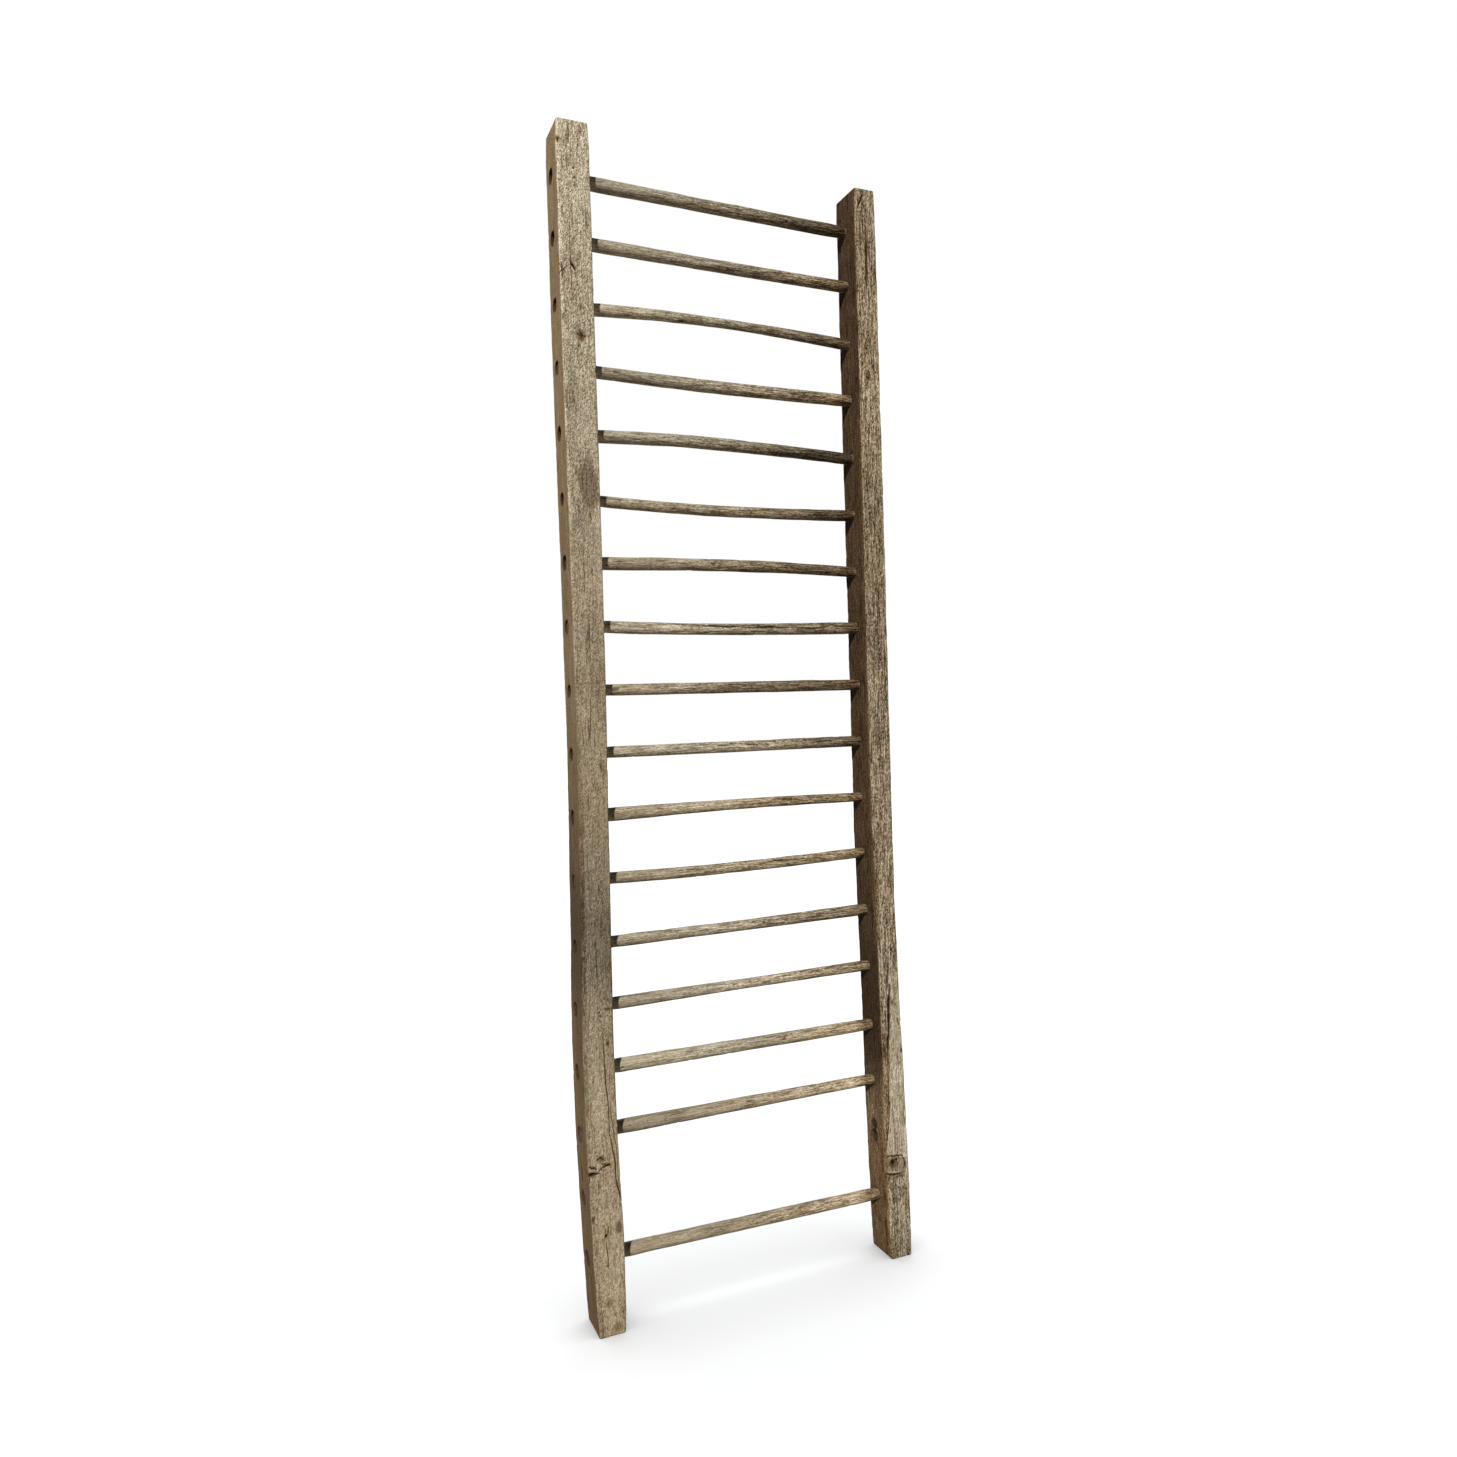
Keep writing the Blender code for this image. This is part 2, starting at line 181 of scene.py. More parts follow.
LEFT_SPOTS = {
    "front": [
        (-314, 1862, 12, 13.5, 1.2, 0.42), (-313, 1864, 4, 5.5, 2.5, 0.88),
        (-319, 1843, 2.6, 3.4, 0.6, 0.6), (-310, 1837, 2.6, 3.2, 0.6, 0.6),
        (-314, 1828, 2.4, 4, 0.6, 0.5), (-313, 1916, 2.2, 2.5, 0.8, 0.55),
        (-348, 2218, 4, 6, 2, 0.9), (-318, 2153, 3.6, 4.4, 0.6, 0.7),
        (-317, 2140, 4, 8, 0.3, 0.25), (-321, 2040, 4, 5, 0.3, 0.3), (-306, 1530, 3, 4, 1, 0.55),
        (-307, 1428, 2.2, 3, 1, 0.5), (-301, 612, 7, 3.5, 1, 0.5), (-303, 548, 4, 5.5, 1.2, 0.6),
        (-322, 334, 11, 8, 1, 0.22), (-310, 321, 7, 3.5, 1.2, 0.55), (-327, 283, 3, 12, 0.6, 0.25),
        (-349, 300, 5, 9, 2.5, 0.12), (-292, 200, 8, 15, 0.7, 0.4),
        (-290, 194, 3.5, 4.5, 0.8, 0.35), (-290, 209, 3, 4, 0.8, 0.35),
        (-317, 189, 3.2, 4.2, 5, 0.85), (-314, 192, 8, 14, 0.4, 0.2), (-341, 224, 4, 9, 1, 0.45),
        (-313, 62, 9, 12, 0.5, 0.2), (-300, 14, 13, 9, 0.6, 0.2),
    ],
    "left": [
        (-8, 380, 5, 14, 1.6, 0.7), (6, 295, 5, 20, 1.4, 0.7),
    ],
    "back": [
        (-330, 1600, 7, 11, 1.2, 0.6), (-312, 760, 9, 14, 1.4, 0.6),
    ],
    "right": [
        (18, 1240, 6, 9, 1, 0.55),
    ],
}

RIGHT_SPOTS = {
    "front": [
        (300, 1852, 7, 12, 1.2, 0.45), (301, 1848, 3, 5.5, 2, 0.7), (322, 2062, 6, 16, 0.8, 0.35),
        (311, 201, 13, 14, 0.8, 0.48), (311, 202, 6.5, 7.5, 4.5, 0.95),
        (313, 174, 27, 9, 0.4, 0.38), (319, 207, 7, 3.4, 1.5, 0.8), (296, 197, 3.5, 7, 1, 0.4),
        (322, 195, 6, 8, 0.8, 0.3), (345, 8, 2.2, 2.4, 4, 0.85), (307, 152, 9, 14, 0.7, 0.28),
        (337, 437, 2.4, 7, 1.5, 0.75), (326, 410, 13, 3, 0.2, 0.2), (294, 440, 8, 22, 0.8, 0.5),
    ],
    "left": [
        (6, 274, 15, 16, 1.8, 0.8),
    ],
    "back": [
        (309, 1700, 7, 10, 1.2, 0.6), (300, 900, 8, 12, 1.2, 0.55),
    ],
    "right": [
        (-12, 1180, 7, 12, 1.2, 0.6),
    ],
}

# Heights where a rail's surface needs the finest stations, in millimetres
LEFT_FINE_ZONES = ((176, 345), (1972, 2000), (1850, 1876))
RIGHT_FINE_ZONES = ((172, 232), (2192, 2232), (1836, 1868))

# The shallow rebate across the front of the right rail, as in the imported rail
REBATE_BOTTOM = 0.182
REBATE_TOP = 0.218
REBATE_DEPTH = 0.0022
REBATE_OUTER_WALL = 0.006
REBATE_EDGE = 0.0016

# How light a face is at a height, and how brown: (height in mm, value)
LEFT_FRONT_TONE = (
    (0, 0.87), (60, 0.99), (200, 1.00), (330, 0.90), (480, 0.86), (600, 0.75), (690, 0.51),
    (790, 0.48), (880, 0.72), (1100, 0.79), (1400, 0.85), (1700, 0.91), (2000, 1.01), (2257, 1.15),
)
LEFT_FRONT_WARMTH = (
    (0, 0.60), (300, 0.45), (560, 0.40), (700, 0.25), (850, 0.35), (950, 0.60), (1200, 0.50),
    (1600, 0.25), (1900, 0.12), (2257, 0.05),
)
LEFT_ARRIS_TONE = (
    (0, 0.77), (300, 0.78), (480, 0.69), (600, 0.61), (690, 0.48), (790, 0.48), (880, 0.60),
    (1150, 0.80), (1300, 1.09), (1500, 1.24), (1900, 1.31), (2257, 1.50),
)
LEFT_SIDE_TONE = (
    (0, 0.60), (300, 0.62), (500, 0.66), (600, 0.52), (700, 0.36), (800, 0.36), (900, 0.54),
    (1050, 0.68), (1250, 0.88), (1700, 1.00), (2100, 1.12), (2257, 1.18),
)
RIGHT_FRONT_TONE = (
    (0, 0.60), (60, 0.64), (150, 0.68), (260, 0.84), (330, 0.84), (480, 0.80), (640, 0.76),
    (900, 0.74), (1200, 0.73), (1400, 0.60), (1600, 0.57), (1780, 0.79), (1900, 0.85),
    (2050, 0.72), (2239, 0.68),
)
RIGHT_FRONT_WARMTH = (
    (0, 0.50), (200, 0.50), (260, 0.42), (480, 0.50), (700, 0.60), (1000, 0.52), (1500, 0.80),
    (1700, 0.75), (1800, 0.60), (2050, 0.75), (2239, 0.75),
)
RIGHT_INNER_TONE = (
    (0, 0.56), (160, 0.61), (230, 0.64), (330, 0.68), (370, 0.38), (430, 0.20), (600, 0.20),
    (690, 0.26), (800, 0.27), (1000, 0.33), (1300, 0.31), (2239, 0.32),
)
RIGHT_INNER_WARMTH = ((220, 2.0), (300, 1.4), (400, 1.5), (440, 2.0))

# X of the right rail's big crack low down: (height, X) in millimetres
BIG_CRACK_LINE = ((226, 293), (254, 297), (323, 305), (600, 308))

# The dark stain on the left rail's front: its middle and half size as (across, height) in
# millimetres, and how far it leans
STAIN_MIDDLE = (-308.0, 1588.0)
STAIN_HALF_SIZE = (19.0, 52.0)
STAIN_LEAN = 0.06


def turns(count):
    """Equal angles round a circle, in radians."""
    return np.arange(count) * 2.0 * math.pi / count


def smooth(value):
    """0 to 1 with a gentle start and end, held flat beyond them."""
    share = np.clip(value, 0.0, 1.0)
    return share * share * (3.0 - 2.0 * share)


def rise(value, start, end):
    """0 where the value is at the start, gently to 1 at the end; the start may be the larger."""
    return smooth((value - start) / (end - start))


def eased(places, known, values, reach):
    """Values read at some places between the known ones, with the bends rounded off."""
    offsets = np.linspace(-reach, reach, 9)
    return np.mean([np.interp(places + offset, known, values) for offset in offsets], axis=0)


def random_field(points, seed):
    """A smooth random field from -1 to 1, with a fresh value at each whole-number point."""
    cell = np.floor(points).astype(np.int64)
    share = smooth(points - cell)
    total = np.zeros(len(points))
    for corner in product((0, 1), repeat=3):
        at = cell + np.array(corner)
        mixed = at[:, 0] * 374761393 + at[:, 1] * 668265263 + at[:, 2] * 2147483629
        mixed = mixed + seed * 974634777
        mixed = (mixed ^ (mixed >> 13)) * 1274126177
        mixed = (mixed ^ (mixed >> 16)) & 0xFFFF
        weight = np.prod(np.where(corner, share, 1.0 - share), axis=1)
        total += weight * (mixed / 32767.5 - 1.0)
    return total


def grain(points, sizes, seed, layers=1):
    """Random field whose lumps have the given sizes along X, Y and Z, with finer layers added."""
    scaled = points / np.array(sizes)
    total = np.zeros(len(points))
    strength = 1.0
    for layer in range(layers):
        total += strength * random_field(scaled * 2.0**layer, seed + layer * 17)
        strength *= 0.5
    return total / (2.0 - 2.0 ** (1 - layers))


def at_height(table, height):
    """Value at each height in metres, from a table of heights in millimetres and values."""
    heights, values = zip(*table)
    return np.interp(height / MM, heights, values)


def crack_closeness(flat, crack, seed):
    """1 in the middle of a crack to 0 at its sides, for points given as (across, height)."""
    path = np.array(crack.points) * MM
    spots = np.column_stack([flat[:, 0] / 0.006, flat[:, 1] / 0.009, np.zeros(len(flat))])
    wander = np.column_stack([random_field(spots, seed), random_field(spots, seed + 300)])
    place = flat + wander * np.array([0.0007, 0.0009])
    lengths = np.linalg.norm(np.diff(path, axis=0), axis=1)
    reach = np.concatenate([[0.0], np.cumsum(lengths)])
    nearest = np.full(len(flat), 1e9)
    along = np.zeros(len(flat))
    for index, length in enumerate(lengths):
        step = path[index + 1] - path[index]
        share = np.clip(((place - path[index]) @ step) / length**2, 0.0, 1.0)
        distance = np.linalg.norm(place - path[index] - share[:, None] * step, axis=1)
        closer = distance < nearest
        nearest = np.where(closer, distance, nearest)
        along = np.where(closer, (reach[index] + share * length) / reach[-1], along)
    half_width = crack.half_width * MM * (0.35 + 0.65 * np.sin(np.pi * np.clip(along, 0.02, 0.98)))
    return np.clip(1.0 - nearest / half_width, 0.0, 1.0)


def spot_closeness(flat, spot):
    """1 in the middle of a spot to 0 at its outline, for points given as (across, height)."""
    across = (flat[:, 0] / MM - spot.across) / spot.half_across
    height = (flat[:, 1] / MM - spot.height) / spot.half_height
    return np.clip(1.0 - np.hypot(across, height), 0.0, 1.0)


class Rail:
    """One packed rail as measured from the frame, with what is cut in it."""

    def __init__(self, node, cracks, spots, fine_zones, seed):
        self.node = node
        self.cracks = [
            Crack(face, *row[:2], row[2:]) for face, rows in cracks.items() for row in rows
        ]
        self.spots = [Spot(face, *row) for face, rows in spots.items() for row in rows]
        self.fine_zones = fine_zones
        self.seed = seed
        low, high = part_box(node)
        self.front, self.back, self.top = low.y, high.y, high.z
        self.tree = cad_tree(node)
        self.holes = []

    def sides(self, heights):
        """X of the left and right sides at each height, measured clear of the holes."""
        clear = self.front + 0.010
        found = []
        for height in np.clip(heights, 0.0005, self.top - 0.0005):
            left = self.tree.ray_cast(Vector((-1.0, clear, height)), Vector((1, 0, 0)))[0]
            right = self.tree.ray_cast(Vector((1.0, clear, height)), Vector((-1, 0, 0)))[0]
            found.append((left.x, right.x))
        return [eased(heights, heights, values, RAIL_EASING) for values in np.array(found).T]

    def stations(self):
        """Heights of the surface's stations: close together near ends, holes and fine details."""
        heights = list(END_HEIGHTS)
        while heights[-1] < self.top - 0.0045:
            here = heights[-1]
            spacing = COARSE_SPACING
            if any(abs(here - hole.middle.z) < HOLE_ZONE for hole in self.holes):
                spacing = FINE_SPACING
            if any(low * MM <= here <= high * MM for low, high in self.fine_zones):
                spacing = FINEST_SPACING
            heights.append(here + spacing)
        return np.array(heights[:-1] + [self.top - height for height in END_HEIGHTS[::-1]])

    def faces_near(self, points, left, right):
        """How near each point is to each face, from 1 on it to 0 some millimetres inside."""
        inside = {
            "front": points[:, 1] - self.front,
            "back": self.back - points[:, 1],
            "left": points[:, 0] - left,
            "right": right - points[:, 0],
        }
        return {face: rise(distance, 0.011, 0.005) for face, distance in inside.items()}

    def marks(self, points, near):
        """Depth in metres and darkness from 0 to 1 that cracks and spots give at each point."""
        depth = np.zeros(len(points))
        dark = np.zeros(len(points))
        flat = {face: points[:, [0, 2] if face in ("front", "back") else [1, 2]] for face in near}
        for index, crack in enumerate(self.cracks):
            close = crack_closeness(flat[crack.face], crack, self.seed + index)
            close = close * (near[crack.face] > 0.2)
            depth = np.maximum(depth, crack.depth * MM * np.minimum(1.0, close * 1.6))
            strength = min(0.93, 0.30 + 0.35 * crack.half_width)
            dark = np.maximum(dark, strength * np.minimum(1.0, close * 2.2))
        wobble = 0.15 * grain(points, (0.004, 0.004, 0.006), self.seed + 5)
        for spot in self.spots:
            close = spot_closeness(flat[spot.face], spot)
            on_spot = (near[spot.face] > 0.2) & (close > 0.0)
            close = np.clip(close * 2.2 + wobble, 0.0, 1.0) * on_spot
            depth = np.maximum(depth, spot.depth * MM * close)
            dark = np.maximum(dark, spot.dark * close)
        return depth, dark


class Hole:
    """A round hole through a rail, for a rung's end or left empty."""

    def __init__(self, middle, along, radius):
        self.middle = Vector(middle)
        self.along = Vector(along).normalized()
        self.radius = radius

    def distance(self, points):
        """Distance of each point from the hole's axis."""
        offset = points - np.array(self.middle)
        along = np.array(self.along)
        return np.linalg.norm(offset - np.outer(offset @ along, along), axis=1)


def cad_tree(node):
    """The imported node's surface, for ray casts."""
    mesh = frame["nodes"][node].data
    corners = [vertex.co.copy() for vertex in mesh.vertices]
    faces = [tuple(face.vertices) for face in mesh.polygons]
    return BVHTree.FromPolygons(corners, faces)


def rung_rings(node):
    """Middle and radius of each ring of corners on a packed rung, left end first."""
    mesh = frame["nodes"][node].data
    corners = np.array(sorted({tuple(np.round(vertex.co, 6)) for vertex in mesh.vertices}))
    breaks = np.flatnonzero(np.diff(corners[:, 0]) > 0.0012) + 1
    rings = []
    for ring in np.split(corners, breaks):
        low, high = ring.min(axis=0), ring.max(axis=0)
        if high[2] - low[2] < 0.008:
            continue
        middle = (low + high) / 2.0
        rings.append((*middle, (high[2] - low[2]) / 2.0))
    return np.array(rings)


def grid_faces(rows, columns, first=0):
    """Faces of a tube of rings of corners, outward when the rings run anticlockwise."""
    low = first + np.arange(rows - 1)[:, None] * columns
    column = np.arange(columns)[None, :]
    after = (column + 1) % columns
    high = low + columns
    corners = (low + column, low + after, high + after, high + column)
    return np.stack(corners, axis=-1).reshape(-1, 4)


def new_mesh(name, points, faces):
    """A mesh object in the scene."""
    mesh = bpy.data.meshes.new(name)
    corners = [tuple(point) for point in points]
    mesh.from_pydata(corners, [], [tuple(int(corner) for corner in face) for face in faces])
    mesh.validate()
    item = bpy.data.objects.new(name, mesh)
    bpy.context.scene.collection.objects.link(item)
    return item


def tube(name, rings):
    """A closed tube through rings of corners, with its ends closed by shrinking rings."""
    columns = rings.shape[1]
    before, after = [], []
    for step in range(1, CAP_RINGS):
        share = 1.0 - step / CAP_RINGS
        for ring, caps in ((rings[0], before), (rings[-1], after)):
            middle = ring.mean(axis=0)
            caps.append(middle + (ring - middle) * share)
    rows = [*before[::-1], *rings, *after]
    points = np.vstack([*rows, rows[0].mean(axis=0), rows[-1].mean(axis=0)])
    faces = list(grid_faces(len(rows), columns))
    start, last = len(rows) * columns, (len(rows) - 1) * columns
    for column in range(columns):
        beside = (column + 1) % columns
        faces += [(start, beside, column), (start + 1, last + column, last + beside)]
    return new_mesh(name, points, faces)


def ring_normals(rings):
    """Outward directions at the corners of a tube's rings."""
    around = np.roll(rings, -1, axis=1) - np.roll(rings, 1, axis=1)
    along = np.gradient(rings, axis=0)
    normals = np.cross(around, along)
    return normals / np.maximum(np.linalg.norm(normals, axis=2, keepdims=True), 1e-12)


def rounded_side(length, start_radius, end_radius, steps):
    """Distances along a side and in from it, from one corner to just before the next."""
    share = np.arange(steps) / steps
    share = share - CROWDING * np.sin(2.0 * np.pi * share) / (2.0 * np.pi)
    place = share[None, :] * length[:, None]
    along = place.copy()
    inward = np.zeros_like(place)
    for radius, distance, sign in (
        (start_radius[:, None], place, 1.0),
        (end_radius[:, None], length[:, None] - place, -1.0),
    ):
        turn = math.pi / 4.0 * np.clip(1.0 - distance / radius, 0.0, 1.0)
        within = distance < radius
        moved = radius - radius * np.sin(turn)
        target = moved if sign > 0.0 else length[:, None] - moved
        along = np.where(within, target, along)
        inward = np.where(within, radius - radius * np.cos(turn), inward)
    return along, inward


def arris_radius(heights, corner, seed):
    """Roundness of one long edge, which is rubbed round more in some places than in others."""
    spots = np.column_stack([heights / 0.045, np.full_like(heights, corner * 7.3), heights * 0.0])
    slow = random_field(spots, seed)
    fast = random_field(spots * np.array([4.0, 1.0, 1.0]) + 3.1, seed + 1)
    return 0.0034 + 0.0016 * slow + 0.0009 * fast


def end_inset(heights, top):
    """How far the rounded-off ends draw in from the sides."""
    radius = 0.0022
    distance = np.clip(np.minimum(heights, top - heights), 0.0, radius)
    return radius - np.sqrt(radius**2 - (radius - distance) ** 2)


def rail_rings(rail):
    """Rings of corners up a rail, before its surface is roughened."""
    heights = rail.stations()
    left, right = rail.sides(heights)
    inset = end_inset(heights, rail.top) * 0.8
    left, right = left + inset, right - inset
    front, back = rail.front + inset, rail.back - inset
    radii = [arris_radius(heights, corner, rail.seed) for corner in range(4)]
    starts = ((left, front), (right, front), (right, back), (left, back))
    ways = ((1.0, 0.0), (0.0, 1.0), (-1.0, 0.0), (0.0, -1.0))
    across, deep = [], []
    for index, face in enumerate(("front", "right", "back", "left")):
        (x, y), (way_x, way_y) = starts[index], ways[index]
        length = right - left if way_x else back - front
        ends = radii[index], radii[(index + 1) % 4]
        along, inward = rounded_side(length, *ends, RAIL_STEPS[face])
        across.append(x[:, None] + way_x * along - way_y * inward)
        deep.append(y[:, None] + way_y * along + way_x * inward)
    across, deep = np.concatenate(across, axis=1), np.concatenate(deep, axis=1)
    return np.stack([across, deep, np.broadcast_to(heights[:, None], across.shape)], axis=2)


def rebate_depth(points, rail):
    """Depth of the shallow rebate at each point on the right rail's front."""
    _, right = rail.sides(np.array([REBATE_BOTTOM, REBATE_TOP]))
    slope = np.interp(points[:, 0], (0.306, 0.338), (0.0, -0.010))
    ragged = 0.0016 * grain(points, (0.007, 0.006, 0.009), 71, 2)
    up = smooth((points[:, 2] + ragged - REBATE_BOTTOM) / REBATE_EDGE)
    down = smooth((REBATE_TOP + slope - points[:, 2] + ragged) / REBATE_EDGE)
    outer = smooth((right.mean() - REBATE_OUTER_WALL - points[:, 0]) / 0.003)
    return REBATE_DEPTH * up * down * outer


def roughen_rail(rail, rings):
    """Give a rail's rings their hewn, weathered and cracked surface, always inward."""
    rows, columns, _ = rings.shape
    points = rings.reshape(-1, 3)
    normals = ring_normals(rings).reshape(-1, 3)
    left, right = rail.sides(rings[:, 0, 2])
    left, right = np.repeat(left, columns), np.repeat(right, columns)
    near = rail.faces_near(points, left, right)
    strong = 0.7 + (1.3 * near["front"] if rail.node == "rail_right" else 0.3 * near["front"])
    hewn = 0.00032 * (1.0 + grain(points, (0.035, 0.035, 0.13), rail.seed + 20, 2))
    ridges = 0.00018 * strong * (1.0 + grain(points, (0.0030, 0.0030, 0.040), rail.seed + 30, 2))
    pits = np.clip(-0.42 - grain(points, (0.0045, 0.0045, 0.015), rail.seed + 40), 0.0, 1.0)
    depth, _ = rail.marks(points, near)
    total = hewn + ridges + 0.003 * strong * pits + depth
    if rail.node == "rail_right":
        total = total + rebate_depth(points, rail) * near["front"]
    fade = smooth(np.minimum(points[:, 2], rail.top - points[:, 2]) / 0.0012)
    flat = points - normals * (total * np.maximum(fade, 0.15))[:, None]
    flat[:, 2] = np.clip(flat[:, 2], 0.0, rail.top)
    return flat.reshape(rows, columns, 3)


def hole_cutter(rail):
    """Slightly uneven rods through every hole of a rail, as one mesh that only cuts."""
    angles = turns(HOLE_SIDES)
    circle = np.column_stack([np.cos(angles), np.sin(angles), np.zeros(HOLE_SIDES)])
    distances = np.linspace(-HOLE_REACH, HOLE_REACH, HOLE_RINGS)
    points, faces = [], []
    for index, hole in enumerate(rail.holes):
        turn = np.array(Vector((0, 0, 1)).rotation_difference(hole.along).to_matrix())
        rod = np.array([circle * hole.radius + (0.0, 0.0, distance) for distance in distances])
        rod = rod @ turn.T + np.array(hole.middle)
        wobble = 0.4 + grain(rod.reshape(-1, 3), (0.010, 0.006, 0.006), 400 + index)
        wobble = np.maximum(0.00045 * wobble, 0.0).reshape(HOLE_RINGS, HOLE_SIDES, 1)
        points.append((rod + ring_normals(rod) * wobble).reshape(-1, 3))
        first = index * HOLE_RINGS * HOLE_SIDES
        last = first + (HOLE_RINGS - 1) * HOLE_SIDES
        faces += list(grid_faces(HOLE_RINGS, HOLE_SIDES, first))
        faces.append(range(first + HOLE_SIDES - 1, first - 1, -1))
        faces.append(range(last, last + HOLE_SIDES))
    return new_mesh(rail.node + "_hole_rods", np.concatenate(points), faces)


def cut_holes(item, rail):
    """Cut the holes and keep the result as the item's own mesh."""
    cutter = hole_cutter(rail)
    boolean = item.modifiers.new("holes", "BOOLEAN")
    boolean.operation = "DIFFERENCE"
    boolean.solver = "MANIFOLD"
    boolean.object = cutter
    bpy.context.view_layer.update()
    depsgraph = bpy.context.evaluated_depsgraph_get()
    mesh = bpy.data.meshes.new_from_object(item.evaluated_get(depsgraph))
    item.modifiers.clear()
    item.data = mesh
    bpy.data.objects.remove(cutter, do_unlink=True)


def points_of(item):
    """The object's corners as an array."""
    flat = np.zeros(len(item.data.vertices) * 3, np.float32)
    item.data.vertices.foreach_get("co", flat)
    return flat.reshape(-1, 3).astype(float)


def store(item, name, values):
    """Keep a number for each corner, for the material to read."""
    layer = item.data.attributes.new(name, "FLOAT", "POINT")
    layer.data.foreach_set("value", np.asarray(values, np.float32))


def left_edge_band(rail, points, left, width):
    """1 on the front-left edge of a rail to 0 a given width in millimetres from it."""
    across = rise((points[:, 0] - left) / MM, width, 0.55 * width)
    return across * rise(points[:, 1] - rail.front, 0.0045, 0.0015)


def paint_rail(item, rail):
    """Tone, warmth and contrast of a rail's timber at each corner, with painted shade in and round
    the holes.
    """
    points = points_of(item)
    x, y, height = points.T
    lines = np.linspace(0.0, rail.top, 240)
    left, right = (np.interp(height, lines, side) for side in rail.sides(lines))
    _, dark = rail.marks(points, rail.faces_near(points, left, right))
    recess = rebate_depth(points, rail) if rail.node == "rail_right" else 0.0
    on_front = rise(y - rail.front - recess, 0.0026, 0.0004)
    paint = paint_left if rail.node == "rail_left" else paint_right
    tone, warmth, contrast = paint(rail, points, (left, right), on_front)
    # Painted shade in the holes: inside each hole the timber is dark and brown, darker further in
    # from the rail's faces, and a ring about 3.5 mm wide round each mouth is darkened and browned
    shade = 0.26 - 0.14 * smooth(np.minimum(x - left, right - x) / 0.008)
    for hole in rail.holes:
        distance = hole.distance(points) - hole.radius
        inside = distance < 0.0007
        mouth_shade = rise(distance, 0.0035, 0.0005)
        tone = np.where(inside, np.minimum(tone, shade), tone * (1.0 - 0.38 * mouth_shade))
        warmth = np.where(inside, 1.6, warmth + 0.4 * mouth_shade)
    ends = rise(np.minimum(height, rail.top - height), 0.003, 0.001)
    store(item, "tone", tone * (1.0 - 0.25 * ends) * (1.0 - dark))
    store(item, "warmth", np.clip(warmth + 0.9 * dark, 0.0, 2.0))
    store(item, "contrast", contrast)


def paint_left(rail, points, sides, on_front):
    """Weathered grey front, browner sides, a dirty band low down, an edge rubbed bright, and
    painted shade by the front's right edge.
    """
    x, _, height = points.T
    left, right = sides
    blotch = grain(points, (0.030, 0.030, 0.10), rail.seed + 50, 2)
    front, side = at_height(LEFT_FRONT_TONE, height), at_height(LEFT_SIDE_TONE, height)
    tone = (on_front * front + (1.0 - on_front) * side) * (1.0 + 0.10 * blotch)
    side_warmth = 1.0 + np.interp(height, (0.2, 1.0), (0.65, 0.10))
    warmth = on_front * at_height(LEFT_FRONT_WARMTH, height) + (1.0 - on_front) * side_warmth
    warmth = warmth + 0.15 * blotch
    # The long edge is dirty low down and rubbed bright higher up, with nicks near the top
    broken = smooth(0.70 + 0.9 * grain(points, (0.003, 0.003, 0.010), rail.seed + 60, 2))
    wear = left_edge_band(rail, points, left, np.interp(height, (0.9, 1.3), (12.0, 7.0))) * broken
    arris = at_height(LEFT_ARRIS_TONE, height)
    tone = tone * (1.0 + wear * (arris - 1.0))
    warmth = warmth * (1.0 - 0.8 * wear * (arris > 1.0)) + 0.5 * wear * (arris < 0.7)
    nicks = rise(grain(points, (0.004, 0.004, 0.006), rail.seed + 61), -0.50, -0.64)
    nicks = nicks * left_edge_band(rail, points, left, 9.0) * rise(height, 1.2, 1.7)
    tone = tone * (1.0 - 0.65 * nicks)
    # A dark stain on the front, which leans with the grain
    up = height / MM - STAIN_MIDDLE[1]
    across = x / MM - STAIN_MIDDLE[0] + up * STAIN_LEAN
    distance = np.hypot(across / STAIN_HALF_SIZE[0], up / STAIN_HALF_SIZE[1])
    ragged = 0.25 * grain(points, (0.008, 0.008, 0.02), rail.seed + 51, 2)
    stain = rise(distance - ragged, 1.15, 0.80) * on_front
    tone = tone * (1.0 - 0.42 * stain)
    warmth = warmth + 0.40 * stain
    # Painted shade: the front's last 1 to 2 mm by the right edge is darkened, where the rounded
    # arris turns from the light
    shaded = rise(right - x, 0.0022, 0.0010) * on_front
    tone = tone * (1.0 - 0.45 * shaded)
    contrast = 0.95 + 0.15 * blotch - 0.20 * (1.0 - on_front)
    return tone, warmth, contrast + 0.32 * rise(height, 1.25, 1.85) * on_front


